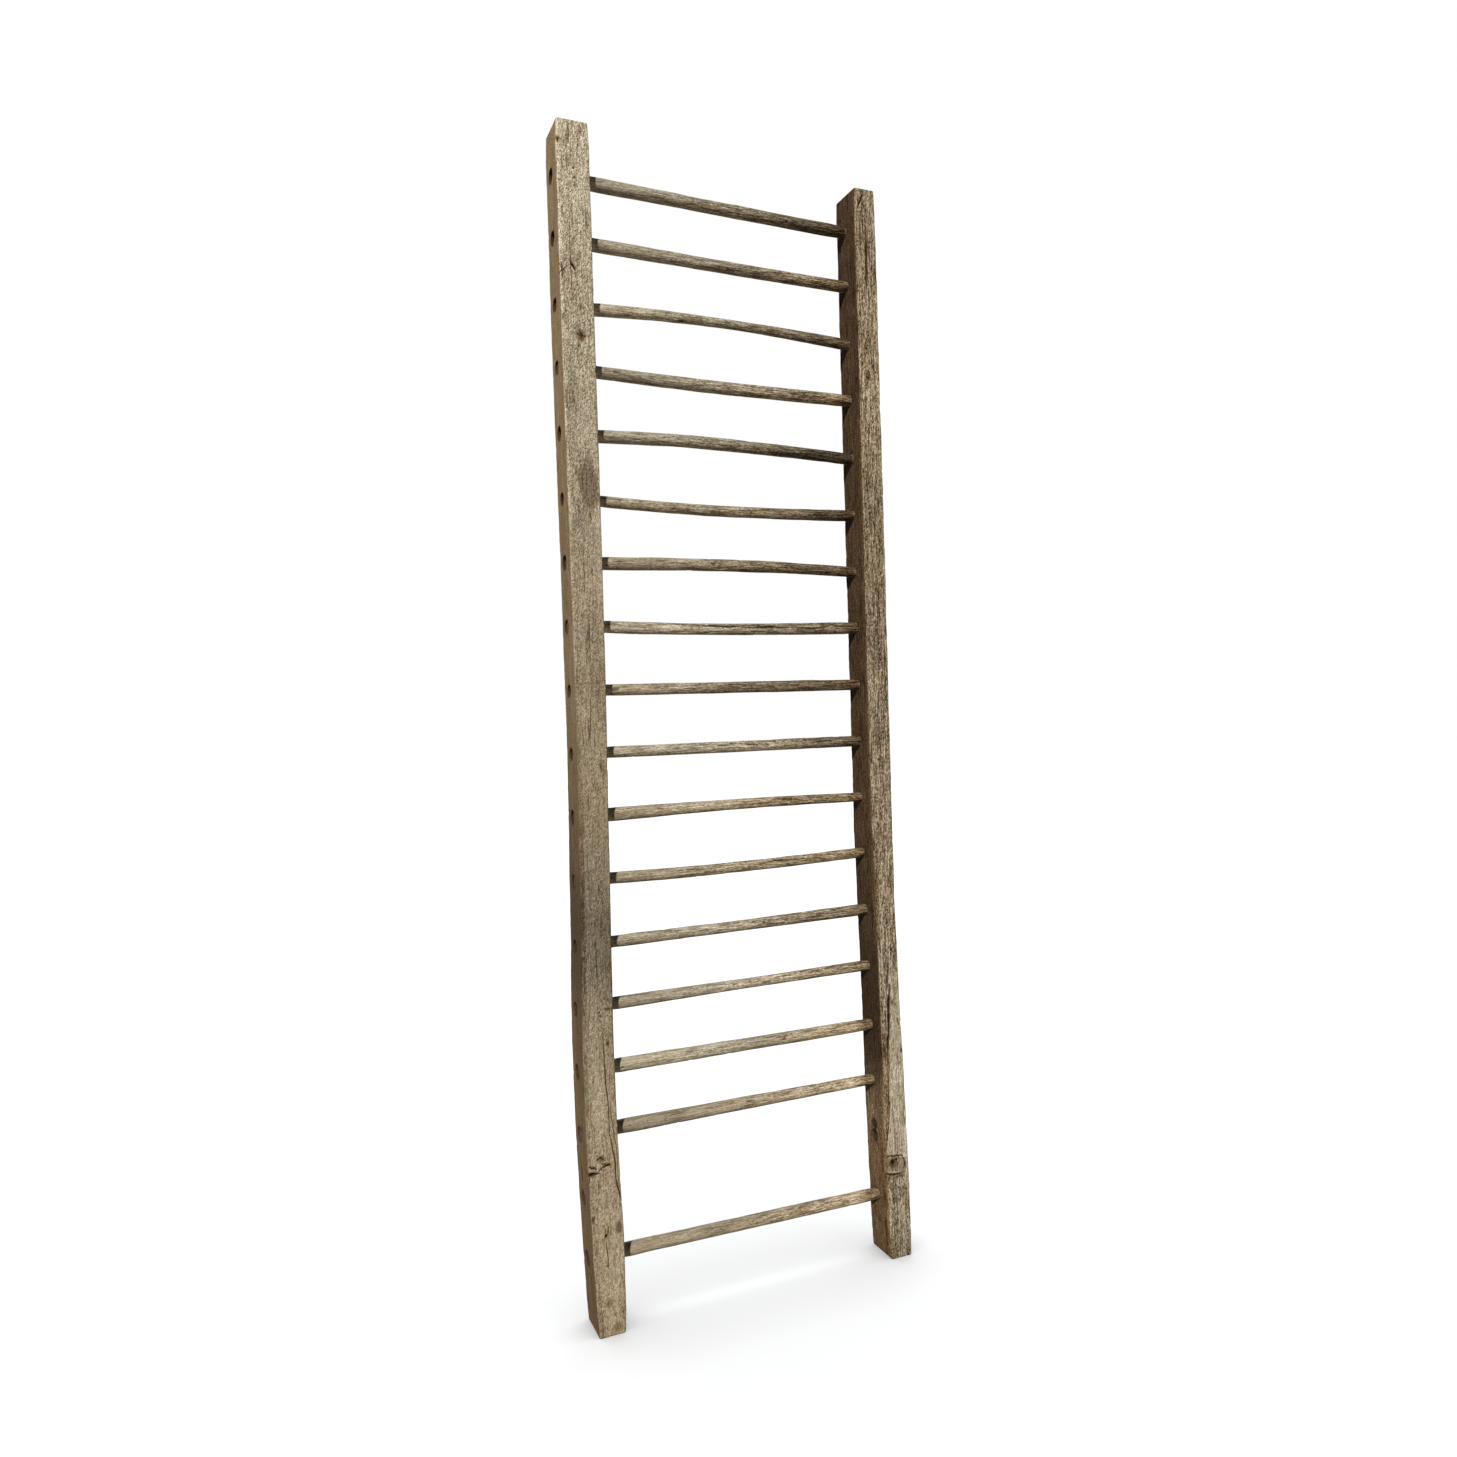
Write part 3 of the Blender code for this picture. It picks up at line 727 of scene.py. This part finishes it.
def paint_right(rail, points, sides, on_front):
    """Strongly streaked front, dark inner side, a pale smooth strip beside the big crack, and
    painted shade by the front's left edge.
    """
    x, y, height = points.T
    left, _ = sides
    on_left = (1.0 - on_front) * rise(x - left, 0.0036, 0.0016)
    elsewhere = 1.0 - on_front - on_left
    # The inner side is lighter near the front, but hardly so beside the big crack
    deep = (y - rail.front) / (rail.back - rail.front)
    plain = 1.0 - 0.9 * rise(height, 0.36, 0.40) * rise(height, 0.68, 0.62)
    lighter = 0.55 * plain * rise(deep, 0.20, 0.02) * rise(height, 2.1, 1.3)
    inner = at_height(RIGHT_INNER_TONE, height) * (1.0 + lighter)
    tone = on_front * at_height(RIGHT_FRONT_TONE, height) + on_left * inner + elsewhere * 0.72
    warmth = on_front * at_height(RIGHT_FRONT_WARMTH, height) + elsewhere
    warmth = warmth + on_left * at_height(RIGHT_INNER_WARMTH, height)
    blotch = grain(points, (0.030, 0.030, 0.09), rail.seed + 50, 2)
    patch = grain(points, (0.012, 0.012, 0.040), rail.seed + 52, 2)
    tone = tone * (1.0 + 0.12 * blotch + 0.08 * patch)
    warmth = warmth - 0.20 * patch * on_front
    # Low down the front is pale right of the big crack and brown left of it
    right_of_crack = rise(x - at_height(BIG_CRACK_LINE, height) * MM, 0.0, 0.003)
    pale = right_of_crack * on_front * rise(height, 0.64, 0.59) * rise(height, 0.17, 0.19)
    brown = (1.0 - right_of_crack) * on_front * rise(height, 0.52, 0.44)
    tone = tone * (1.0 + 0.22 * pale - 0.25 * brown)
    warmth = warmth - 0.40 * pale + 0.60 * brown
    contrast = 1.20 * on_front + 0.80 * (1.0 - on_front) - 0.70 * pale
    contrast = contrast - 0.10 * rise(height, 0.185, 0.165) * on_front
    in_rebate = rebate_depth(points, rail) / REBATE_DEPTH * on_front
    flecks = smooth(0.2 + 1.6 * grain(points, (0.004, 0.004, 0.005), rail.seed + 55, 2))
    tone = tone * (1.0 + in_rebate * (0.34 * flecks - 0.38))
    warmth = warmth + 0.4 * in_rebate
    # The long edge is bright near the top; from about 0.6 to 1.0 m a band up to 13 mm wide beside
    # it has painted shade, darker and browner
    bright = left_edge_band(rail, points, left, 4.0) * rise(height, 1.55, 1.75)
    edge_shade = left_edge_band(rail, points, left, 13.0) * rise(height, 1.00, 0.80)
    edge_shade = edge_shade * rise(height, 0.60, 0.70)
    tone = tone * (1.0 + 0.25 * bright) * (1.0 - 0.38 * edge_shade)
    return tone, warmth + 0.6 * edge_shade * on_front, contrast


class Nodes:
    """Short ways to add shader nodes to one material or world."""

    def __init__(self, owner):
        owner.use_nodes = True
        self.owner = owner
        self.tree = owner.node_tree
        self.shader = self.tree.nodes.get("Principled BSDF")

    def link(self, value, target):
        """Join an output to an input, or set the input to a plain value."""
        if isinstance(value, bpy.types.NodeSocket):
            self.tree.links.new(value, target)
        else:
            target.default_value = value

    def shade(self, **inputs):
        """Set or join inputs of the shader, named with underscores for spaces."""
        for name, value in inputs.items():
            self.link(value, self.shader.inputs[name.replace("_", " ")])

    def add(self, kind, output, inputs, **settings):
        """One of the outputs of a new node that has the given inputs and settings."""
        node = self.tree.nodes.new("ShaderNode" + kind)
        for name, setting in settings.items():
            setattr(node, name, setting)
        for name, value in inputs.items():
            self.link(value, node.inputs[name])
        return node.outputs[output]

    def maths(self, operation, first, second=0.0, clamp=False):
        """One sum on one or two numbers."""
        return self.add("Math", 0, {0: first, 1: second}, operation=operation, use_clamp=clamp)

    def attribute(self, name):
        """A number stored at the corners."""
        return self.add("Attribute", "Fac", {}, attribute_name=name)

    def noise(self, sizes, detail, roughness=0.5, distortion=0.0, shift=0.0, slant=0.0):
        """Noise whose lumps have the given sizes in metres along X, Y and Z."""
        mapping = {
            "Location": (shift, shift * 0.7, shift * 1.3),
            "Rotation": (0.0, math.radians(slant), 0.0),
            "Scale": sizes,
            "Vector": self.add("TexCoord", "Object", {}),
        }
        figure = {"Scale": 1.0, "Detail": detail, "Roughness": roughness, "Distortion": distortion}
        figure["Vector"] = self.add("Mapping", "Vector", mapping, vector_type="TEXTURE")
        return self.add("TexNoise", "Fac", figure)

    def ramp(self, value, places, colours):
        """Colours along a scale from 0 to 1."""
        output = self.add("ValToRGB", "Color", {"Fac": value})
        band = output.node.color_ramp
        while len(band.elements) < len(places):
            band.elements.new(0.5)
        for element, place, colour in zip(band.elements, places, colours):
            element.position = place
            element.color = (*colour, 1.0)
        return output

    def mix(self, share, first, second):
        """A blend of two colours."""
        inputs = {"Factor": share, "A": first, "B": second}
        return self.add("Mix", "Result", inputs, data_type="RGBA")

    def scale(self, colour, factor):
        """A colour made lighter or darker."""
        return self.add("VectorMath", "Vector", {0: colour, "Scale": factor}, operation="SCALE")

    def bump(self, height, distance, strength):
        """Fine relief on the shader."""
        inputs = {"Strength": strength, "Distance": distance, "Height": height}
        self.shade(Normal=self.add("Bump", "Normal", inputs))


# Colours of the timber from dark to light, and their places along a scale from 0 to 1
STOPS = (0.00, 0.28, 0.50, 0.72, 1.00)
GREYS = (
    (0.030, 0.020, 0.010), (0.090, 0.067, 0.039), (0.200, 0.170, 0.119), (0.315, 0.279, 0.212),
    (0.500, 0.458, 0.368),
)
BROWNS = (
    (0.022, 0.012, 0.005), (0.080, 0.051, 0.024), (0.155, 0.107, 0.057), (0.234, 0.170, 0.098),
    (0.370, 0.290, 0.190),
)
DEEP_BROWNS = (
    (0.030, 0.014, 0.005), (0.076, 0.039, 0.016), (0.130, 0.073, 0.032), (0.198, 0.120, 0.060),
    (0.315, 0.214, 0.120),
)
RUST_STOPS = (0.30, 0.55, 0.75)
RUSTS = ((0.020, 0.017, 0.015), (0.060, 0.036, 0.022), (0.130, 0.062, 0.028))

# A timber's figure: the size across and along the grain and the strength of its flecks and of its
# streaks, how far the flecks slant in degrees, the strength of its broad patches, specks and
# checks, and the depth of its relief in metres
Figure = namedtuple(
    "Figure", "fleck_size flecks slant streak_size streaks patches specks checks relief"
)
LEFT_FIGURE = Figure((0.0015, 0.0036), 1.65, 28.0, (0.0016, 0.036), 0.60, 0.32, 0.60, 0.65, 0.0013)
RIGHT_FIGURE = Figure((0.0019, 0.0050), 2.50, 6.0, (0.0021, 0.034), 1.80, 0.55, 0.50, 0.80, 0.0021)
POLE_FIGURE = Figure((0.0015, 0.0070), 1.60, 0.0, (0.0017, 0.045), 1.70, 0.60, 0.55, 0.75, 0.0011)


def timber_material(name, along_x, shift, figure):
    """Weathered timber whose grain runs along X or along Z, tinted by the stored numbers."""
    nodes = Nodes(bpy.data.materials.new(name))
    add, subtract, multiply = (
        partial(nodes.maths, operation) for operation in ("ADD", "SUBTRACT", "MULTIPLY")
    )

    def grained(across, lengthwise, *rest, **more):
        sizes = (lengthwise, across, across) if along_x else (across, across, lengthwise)
        return nodes.noise(sizes, *rest, shift=shift, **more)

    def share(value, gain):
        return multiply(subtract(value, 0.5), gain)

    def above(value, start, gain):
        return multiply(subtract(value, start), gain, clamp=True)

    flecks = grained(*figure.fleck_size, 3.0, roughness=0.65, slant=figure.slant)
    streaks = grained(*figure.streak_size, 3.0, roughness=0.60, distortion=0.25)
    patches = grained(0.0160, 0.0450, 3.0, roughness=0.60)
    broad = grained(0.0450, 0.3000, 2.0)
    checks = grained(0.0100, 0.2200, 1.0, roughness=0.45, distortion=0.3)
    where = grained(0.0120, 0.0600, 2.0)
    specks = grained(0.0021, 0.0050, 1.0, slant=figure.slant)
    spread = add(share(flecks, figure.flecks), share(streaks, figure.streaks))
    spread = multiply(add(spread, share(patches, figure.patches)), nodes.attribute("contrast"))
    value = add(add(spread, share(broad, 0.30)), 0.5, clamp=True)
    warmth = nodes.attribute("warmth")
    grey, brown, deep = (nodes.ramp(value, STOPS, row) for row in (GREYS, BROWNS, DEEP_BROWNS))
    colour = nodes.mix(add(warmth, 0.0, clamp=True), grey, brown)
    colour = nodes.mix(subtract(warmth, 1.0, clamp=True), colour, deep)
    off_line = nodes.maths("ABSOLUTE", subtract(checks, 0.5))
    line = subtract(1.0, multiply(off_line, 40.0), clamp=True)
    line = multiply(line, above(where, 0.48, 9.0))
    speck = multiply(above(specks, 0.60, 12.0), above(patches, 0.50, 9.0))
    tone = nodes.attribute("tone")
    for mark, strength in ((line, figure.checks), (speck, figure.specks)):
        tone = multiply(tone, subtract(1.0, multiply(mark, strength)))
    rough = add(multiply(patches, 0.22), 0.72)
    nodes.shade(Base_Color=nodes.scale(colour, tone), Roughness=rough, Specular_IOR_Level=0.04)
    relief = add(share(streaks, 0.8), share(flecks, 0.5))
    for mark in (line, speck):
        relief = subtract(relief, multiply(mark, 0.35))
    nodes.bump(relief, figure.relief, 0.9)
    return nodes.owner


def iron_material():
    """Old iron, black-brown with rust."""
    nodes = Nodes(bpy.data.materials.new("rusted_iron"))
    patches = nodes.noise((0.0016, 0.0016, 0.0016), 4.0, roughness=0.65)
    rough = nodes.maths("ADD", nodes.maths("MULTIPLY", patches, 0.30), 0.55)
    colour = nodes.ramp(patches, RUST_STOPS, RUSTS)
    nodes.shade(Base_Color=colour, Roughness=rough, Metallic=0.55)
    nodes.bump(patches, 0.0006, 0.7)
    return nodes.owner


def make_rail(rail, material):
    """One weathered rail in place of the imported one."""
    item = tube(rail.node + "_timber", roughen_rail(rail, rail_rings(rail)))
    cut_holes(item, rail)
    paint_rail(item, rail)
    finish_piece(item, material, rail.node)


def finish_piece(item, material, node):
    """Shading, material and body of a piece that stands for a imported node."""
    item.data.materials.clear()
    item.data.materials.append(material)
    item.data.shade_smooth()
    item.data.set_sharp_from_angle(angle=math.radians(SHARP_ANGLE))
    rack_pieces.objects.link(item)
    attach(item, "root")
    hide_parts(node)


# How light each rung is near its left end, in its middle and near its right end
RUNG_TONES = {
    1: (0.77, 0.77, 0.29), 2: (0.92, 0.63, 0.68), 3: (1.20, 0.63, 0.42), 4: (0.80, 0.83, 0.77),
    5: (0.84, 0.69, 0.20), 6: (0.84, 0.82, 0.35), 7: (0.84, 0.65, 0.38), 8: (0.98, 0.72, 0.58),
    9: (0.93, 0.47, 0.46), 10: (0.97, 0.94, 0.40), 11: (0.99, 0.98, 0.69), 12: (0.85, 0.88, 0.87),
    13: (0.91, 0.89, 0.61), 14: (0.80, 1.04, 0.91), 15: (1.09, 0.76, 1.13), 16: (0.70, 0.96, 1.25),
    18: (0.87, 0.88, 1.12),
}

# The rungs that are browner all along
BROWN_RUNGS = (6, 7, 9, 11, 12)

# A crack or knot on a rung: the share of the way from the left end, its angle in degrees from the
# front towards the top, its half length, half width and depth in millimetres, and how dark it is
RungMark = namedtuple("RungMark", "share angle half_length half_width depth dark")

# Length of a rung between the rails, in metres
RUNG_FREE_LENGTH = 0.57

RUNG_MARKS = {
    1: [(0.28, -15, 2.5, 1.4, 0.6, 0.65), (0.5, 5, 24, 1, 0.7, 0.45),
        (0.755, -24, 4, 3, 1.8, 0.88), (0.79, -18, 12, 1.4, 0.8, 0.55)],
    2: [(0.12, -8, 3, 1.2, 0.6, 0.5), (0.48, -22, 24, 1.3, 0.8, 0.55),
        (0.72, 10, 30, 1.2, 0.8, 0.5)],
    3: [(0.33, -68, 9, 3.6, 2.2, 0.8), (0.62, 0, 26, 1.2, 0.8, 0.45)],
    4: [(0.08, 8, 10, 2.2, 0.9, 0.55), (0.21, -12, 9, 1, 0.6, 0.6), (0.76, 12, 30, 1.4, 1, 0.6)],
    5: [(0.25, 8, 5, 1.6, 0.8, 0.6), (0.52, 14, 16, 1.6, 0.8, 0.5), (0.74, -42, 62, 4, 0.8, 0.4)],
    6: [(0.08, 24, 6, 1.6, 1, 0.75), (0.26, 14, 18, 1, 0.7, 0.5), (0.53, 4, 40, 1.3, 0.9, 0.55),
        (0.64, 26, 32, 1.1, 0.8, 0.5)],
    7: [(0.07, 14, 10, 1.5, 0.9, 0.6), (0.42, 6, 7, 2.4, 1.3, 0.75),
        (0.75, -14, 50, 1.4, 0.8, 0.45)],
    8: [(0.3, 48, 60, 1.5, 1.6, 0.8), (0.46, 30, 66, 1.7, 1.8, 0.85), (0.63, 14, 66, 1.8, 2, 0.88),
        (0.81, 4, 56, 1.6, 1.8, 0.85), (0.94, 16, 26, 1.4, 1.4, 0.75),
        (0.78, -24, 28, 3, 0.8, 0.45)],
    9: [(0.045, 4, 11, 3.4, 1.8, 0.6), (0.08, 30, 6, 1.6, 1, 0.6), (0.53, 14, 7, 1.4, 0.8, 0.6),
        (0.86, -10, 25, 2, 0.9, 0.45)],
    10: [(0.045, 10, 3, 1.5, 0.7, 0.6), (0.48, 38, 12, 1.6, 0.8, 0.6),
        (0.55, 20, 20, 1.7, 0.9, 0.6)],
    11: [(0.55, -10, 60, 1.6, 1, 0.5)],
    12: [(0.62, 26, 50, 1.4, 0.9, 0.55), (0.45, 34, 20, 1.2, 0.7, 0.5)],
    13: [(0.58, 14, 2.8, 2.4, 1.6, 0.88), (0.8, 34, 6, 1.3, 0.7, 0.55)],
    14: [(0.46, 24, 8, 1.3, 0.7, 0.5), (0.9, 12, 16, 1.6, 0.8, 0.5)],
    15: [(0.035, -6, 5, 1.7, 1.4, 0.78), (0.64, 12, 6, 2.4, 1.2, 0.65), (0.4, 30, 16, 1, 0.6, 0.4)],
    16: [(0.7, 14, 4, 1.5, 0.9, 0.55), (0.22, 36, 26, 1.2, 0.7, 0.4)],
    18: [(0.35, 40, 60, 1.4, 0.6, 0.4), (0.86, 18, 12, 2, 1, 0.5)],
}


def rung_lines(rings):
    """Stations along a rung with its middle line and radius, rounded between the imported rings."""
    first, last = rings[0, 0], rings[-1, 0]
    stations = np.linspace(first, last, round((last - first) / RUNG_SPACING) + 1)
    body = smooth(np.minimum(stations - first - 0.060, last - stations - 0.055) / 0.010)
    lines = [stations]
    for values in rings.T[1:]:
        plain = np.interp(stations, rings[:, 0], values)
        lines.append(plain + body * (eased(stations, rings[:, 0], values, RUNG_EASING) - plain))
    return lines


def make_rung(place, material):
    """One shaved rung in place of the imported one."""
    node = f"rung_{place:02d}"
    rings = rung_rings(node)
    stations, deep, up, radius = rung_lines(rings)
    inner_left, inner_right = rings[1, 0], rings[-2, 0]
    share = (stations - inner_left) / (inner_right - inner_left)
    free = smooth((stations - inner_left) / 0.02) * smooth((inner_right - stations) / 0.02)
    angles = -turns(RUNG_SIDES)
    outward = np.stack([np.zeros(RUNG_SIDES), -np.cos(angles), -np.sin(angles)], axis=1)
    middle = np.stack([stations, deep, up], axis=1)
    base = middle[:, None] + radius[:, None, None] * outward
    points = base.reshape(-1, 3)
    loose = np.repeat(free, RUNG_SIDES)
    lumps = 0.00075 * loose * grain(points, (0.055, 0.011, 0.011), place * 31, 2)
    ridges = 0.00018 * (-1.0 + grain(points, (0.028, 0.0024, 0.0024), place * 31 + 5, 2))
    pits = np.clip(-0.45 - grain(points, (0.014, 0.0035, 0.0035), place * 31 + 9), 0.0, 1.0)
    depth, dark = rung_marks(place, share, radius)
    change = lumps + ridges - 0.0025 * loose * pits - depth
    item = tube(node + "_pole", base + change.reshape(-1, RUNG_SIDES, 1) * outward)
    paint_rung(item, place, inner_left, inner_right, dark)
    finish_piece(item, material, node)


def rung_marks(place, share, radius):
    """Depth and darkness of a rung's own cracks and knots at each corner."""
    angle = np.degrees(turns(RUNG_SIDES))
    angle = (angle + 180.0) % 360.0 - 180.0
    depth = np.zeros((len(share), RUNG_SIDES))
    dark = np.zeros((len(share), RUNG_SIDES))
    for mark in (RungMark(*row) for row in RUNG_MARKS[place]):
        wander = 6.0 * np.sin(share * 40.0 + mark.angle) * min(1.0, mark.half_length / 30.0)
        along = (share[:, None] - mark.share) * RUNG_FREE_LENGTH / (mark.half_length * MM)
        turned = np.radians(angle[None, :] - mark.angle - wander[:, None])
        across = turned * radius[:, None] / (1.35 * mark.half_width * MM)
        close = np.clip(2.2 * (1.0 - np.hypot(along, across)), 0.0, 1.0)
        depth = np.maximum(depth, mark.depth * MM * close)
        dark = np.maximum(dark, mark.dark * close)
    return depth.reshape(-1), dark.reshape(-1)


def paint_rung(item, place, inner_left, inner_right, dark):
    """Tone, warmth and contrast of a rung at each corner."""
    points = points_of(item)
    before = (CAP_RINGS - 1) * RUNG_SIDES
    marks = np.zeros(len(points))
    marks[before : before + len(dark)] = dark
    from_left, to_right = points[:, 0] - inner_left, inner_right - points[:, 0]
    share = np.clip(from_left / (inner_right - inner_left), 0.0, 1.0)
    seat = smooth(np.maximum(-from_left, -to_right) / 0.004)
    neck = rise(to_right, 0.050, 0.010)
    neck_shade = np.interp(place, (9, 10, 13, 15, 18), (0.30, 0.24, 0.27, 0.50, 0.45))
    neck_warmth = np.interp(place, (9, 10, 13, 15), (0.80, 0.40, 0.40, 0.60))
    blotch = grain(points, (0.06, 0.02, 0.02), place * 13, 2)
    tone = np.interp(share, (0.22, 0.55, 0.85), RUNG_TONES[place]) * (1.0 + 0.14 * blotch)
    # Painted light: the first 10 to 14 mm of the rung by the left rail, which lies in that rail's
    # cast shadow, is made up to 30% lighter
    tone = tone * (1.0 - neck_shade * neck) * (1.0 + 0.30 * rise(from_left, 0.014, 0.010))
    tone = tone + seat * (0.50 - tone)
    browner = np.interp(share, (0.30, 0.90), (0.0, 0.75 if place < 12 else 0.55))
    warmth = 0.02 + 0.30 * (place in BROWN_RUNGS) + browner + 0.14 * blotch
    warmth = warmth + 0.35 * (place > 15) * (1.0 - share) + neck_warmth * neck
    warmth = warmth + seat * (1.2 - warmth) + 0.5 * marks
    rough = np.interp(place, (1, 8, 12, 15, 18), (1.10, 1.25, 1.15, 0.80, 0.75))
    contrast = np.interp(share, (0.10, 0.45, 0.80), (0.55, 0.95, 1.40)) * rough
    store(item, "tone", tone * (1.0 - marks))
    store(item, "warmth", np.clip(warmth, 0.0, 2.0))
    store(item, "contrast", contrast * (1.0 + 0.25 * neck) * (1.0 - 0.4 * seat))


def make_nail(node, material):
    """A hand-forged nail: an uneven domed head on a square tapering shank."""
    low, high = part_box(node)
    middle = (low + high) / 2.0
    radius = (high.x - low.x) / 2.0
    length = high.y - low.y
    profile = (
        (0.30, 0.00000), (0.62, 0.00015), (0.88, 0.00040), (0.98, 0.00075), (0.90, 0.00115),
        (0.46, 0.00135), (0.42, 0.00300), (0.36, 0.02000), (0.26, 0.03600), (0.08, length),
    )
    angles = turns(NAIL_SIDES)[::-1]
    outward = np.stack([np.cos(angles), np.zeros(NAIL_SIDES), -np.sin(angles)], axis=1)
    square = np.minimum(1.0 / np.abs(outward).max(axis=1), 1.25) * 0.86
    rings = []
    for share, depth in profile:
        squareness = smooth((depth - 0.0012) / 0.0008)
        reach = radius * share * ((1.0 - squareness) + squareness * square)
        rings.append(reach[:, None] * outward + (middle.x, low.y + depth, middle.z))
    rings = np.array(rings)
    lumps = 0.00022 * np.abs(grain(rings.reshape(-1, 3), (0.0022, 0.0022, 0.0022), 90))
    item = tube(node + "_iron", rings - lumps.reshape(-1, NAIL_SIDES, 1) * outward)
    finish_piece(item, material, node)


def rungs_and_holes(left_rail, right_rail):
    """Find every rung in the frame, and give both rails the holes that the rungs' ends sit in."""
    places = sorted(int(name[-2:]) for name in frame["nodes"] if name.startswith("rung_"))
    for place in places:
        rings = rung_rings(f"rung_{place:02d}")
        along = rings[-1, :3] - rings[0, :3]
        for rail, end in ((left_rail, rings[:2]), (right_rail, rings[-2:])):
            middle = end[:, :3].mean(axis=0)
            rail.holes.append(Hole(middle, along, end[0, 3] + HOLE_CLEARANCE))
    for opening in frame["record"]["physics"]["openings"]:
        for rail, name in ((left_rail, "empty_socket_left"), (right_rail, "empty_socket_right")):
            if opening["name"] == name:
                middle = opening_middle(opening)
                rail.holes.append(Hole(middle, (1, 0, 0), EMPTY_HOLE_RADIUS[rail.node]))
    return places


def opening_middle(opening):
    """Middle of a stated opening's box."""
    low, high = opening["box_m"]
    return [(a + b) / 2.0 for a, b in zip(low, high)]


def make_floor():
    """A wide pale floor."""
    angles = turns(FLOOR_SIDES)
    rim = np.column_stack([-np.sin(angles), np.cos(angles), np.zeros(FLOOR_SIDES)])
    item = new_mesh("studio_floor", FLOOR_RADIUS * rim, [range(FLOOR_SIDES)])
    nodes = Nodes(bpy.data.materials.new("pale_floor"))
    nodes.shade(Base_Color=(*FLOOR_COLOUR, 1.0), Roughness=0.9, Specular_IOR_Level=0.1)
    item.data.materials.append(nodes.owner)
    item.visible_diffuse = False
    return item


def make_sun(name, lit):
    """A far lamp that lights only the objects in one collection; returns the lamp's object."""
    direction, strength, angle = SUNS[name]
    lamp = bpy.data.lights.new(name, "SUN")
    lamp.energy = strength
    lamp.angle = math.radians(angle)
    item = bpy.data.objects.new(name, lamp)
    item.rotation_mode = "QUATERNION"
    item.rotation_quaternion = Vector(direction).to_track_quat("-Z", "Y")
    item.light_linking.receiver_collection = lit
    bpy.context.scene.collection.objects.link(item)
    return item


def make_light(rack, floor):
    """A key, a softer lamp behind, warm light off the ground, one over the floor and a fill."""
    floor_only = bpy.data.collections.new("floor_only")
    floor_only.objects.link(floor)
    make_sun("key", rack)
    make_sun("overhead", floor_only)
    make_sun("back", rack)
    bounce = make_sun("bounce", rack)
    bounce.data.color = BOUNCE_COLOUR
    bounce.light_linking.blocker_collection = rack
    world = bpy.data.worlds.new("studio")
    bpy.context.scene.world = world
    nodes = Nodes(world)
    fill = nodes.tree.nodes["Background"]
    fill.inputs["Color"].default_value = (*FILL_COLOUR, 1.0)
    fill.inputs["Strength"].default_value = FILL_STRENGTH
    seen = nodes.add("Background", 0, {"Color": (1.0, 1.0, 1.0, 1.0)})
    choice = {"Fac": nodes.add("LightPath", "Is Camera Ray", {}), 1: fill.outputs[0], 2: seen}
    surface = nodes.tree.nodes["World Output"].inputs["Surface"]
    nodes.link(nodes.add("MixShader", "Shader", choice), surface)
    bpy.context.scene.view_settings.view_transform = "Standard"


def make_camera():
    """A camera a little left of the rack, at chest height."""
    lens = bpy.data.cameras.new("camera")
    lens.lens = CAMERA_LENS
    lens.clip_end = 100.0
    item = bpy.data.objects.new("camera", lens)
    place = Matrix.Translation(CAMERA_PLACE)
    for angle, axis in (*CAMERA_TURNS, (math.pi / 2.0, "X")):
        place = place @ Matrix.Rotation(angle, 4, axis)
    item.matrix_world = place
    bpy.context.scene.collection.objects.link(item)
    bpy.context.scene.camera = item


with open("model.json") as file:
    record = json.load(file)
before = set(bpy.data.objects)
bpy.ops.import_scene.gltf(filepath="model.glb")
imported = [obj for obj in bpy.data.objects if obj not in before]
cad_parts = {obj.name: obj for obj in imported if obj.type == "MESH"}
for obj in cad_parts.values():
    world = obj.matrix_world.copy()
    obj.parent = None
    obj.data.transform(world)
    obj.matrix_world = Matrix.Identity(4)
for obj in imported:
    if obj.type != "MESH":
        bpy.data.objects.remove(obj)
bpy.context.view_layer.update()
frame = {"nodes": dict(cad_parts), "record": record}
rack_pieces = bpy.data.collections.new("rack_pieces")
make_camera()
make_light(rack_pieces, make_floor())

left_rail = Rail("rail_left", LEFT_CRACKS, LEFT_SPOTS, LEFT_FINE_ZONES, 11)
right_rail = Rail("rail_right", RIGHT_CRACKS, RIGHT_SPOTS, RIGHT_FINE_ZONES, 67)
rung_places = rungs_and_holes(left_rail, right_rail)

left_wood = timber_material("left_rail_wood", False, 0.0, LEFT_FIGURE)
right_wood = timber_material("right_rail_wood", False, 0.37, RIGHT_FIGURE)
make_rail(left_rail, left_wood)
make_rail(right_rail, right_wood)

pole_wood = timber_material("pole_wood", True, 0.71, POLE_FIGURE)
for rung_place in rung_places:
    make_rung(rung_place, pole_wood)

iron = iron_material()
for nail_node in sorted(name for name in frame["nodes"] if name.startswith("lock_nail")):
    make_nail(nail_node, iron)
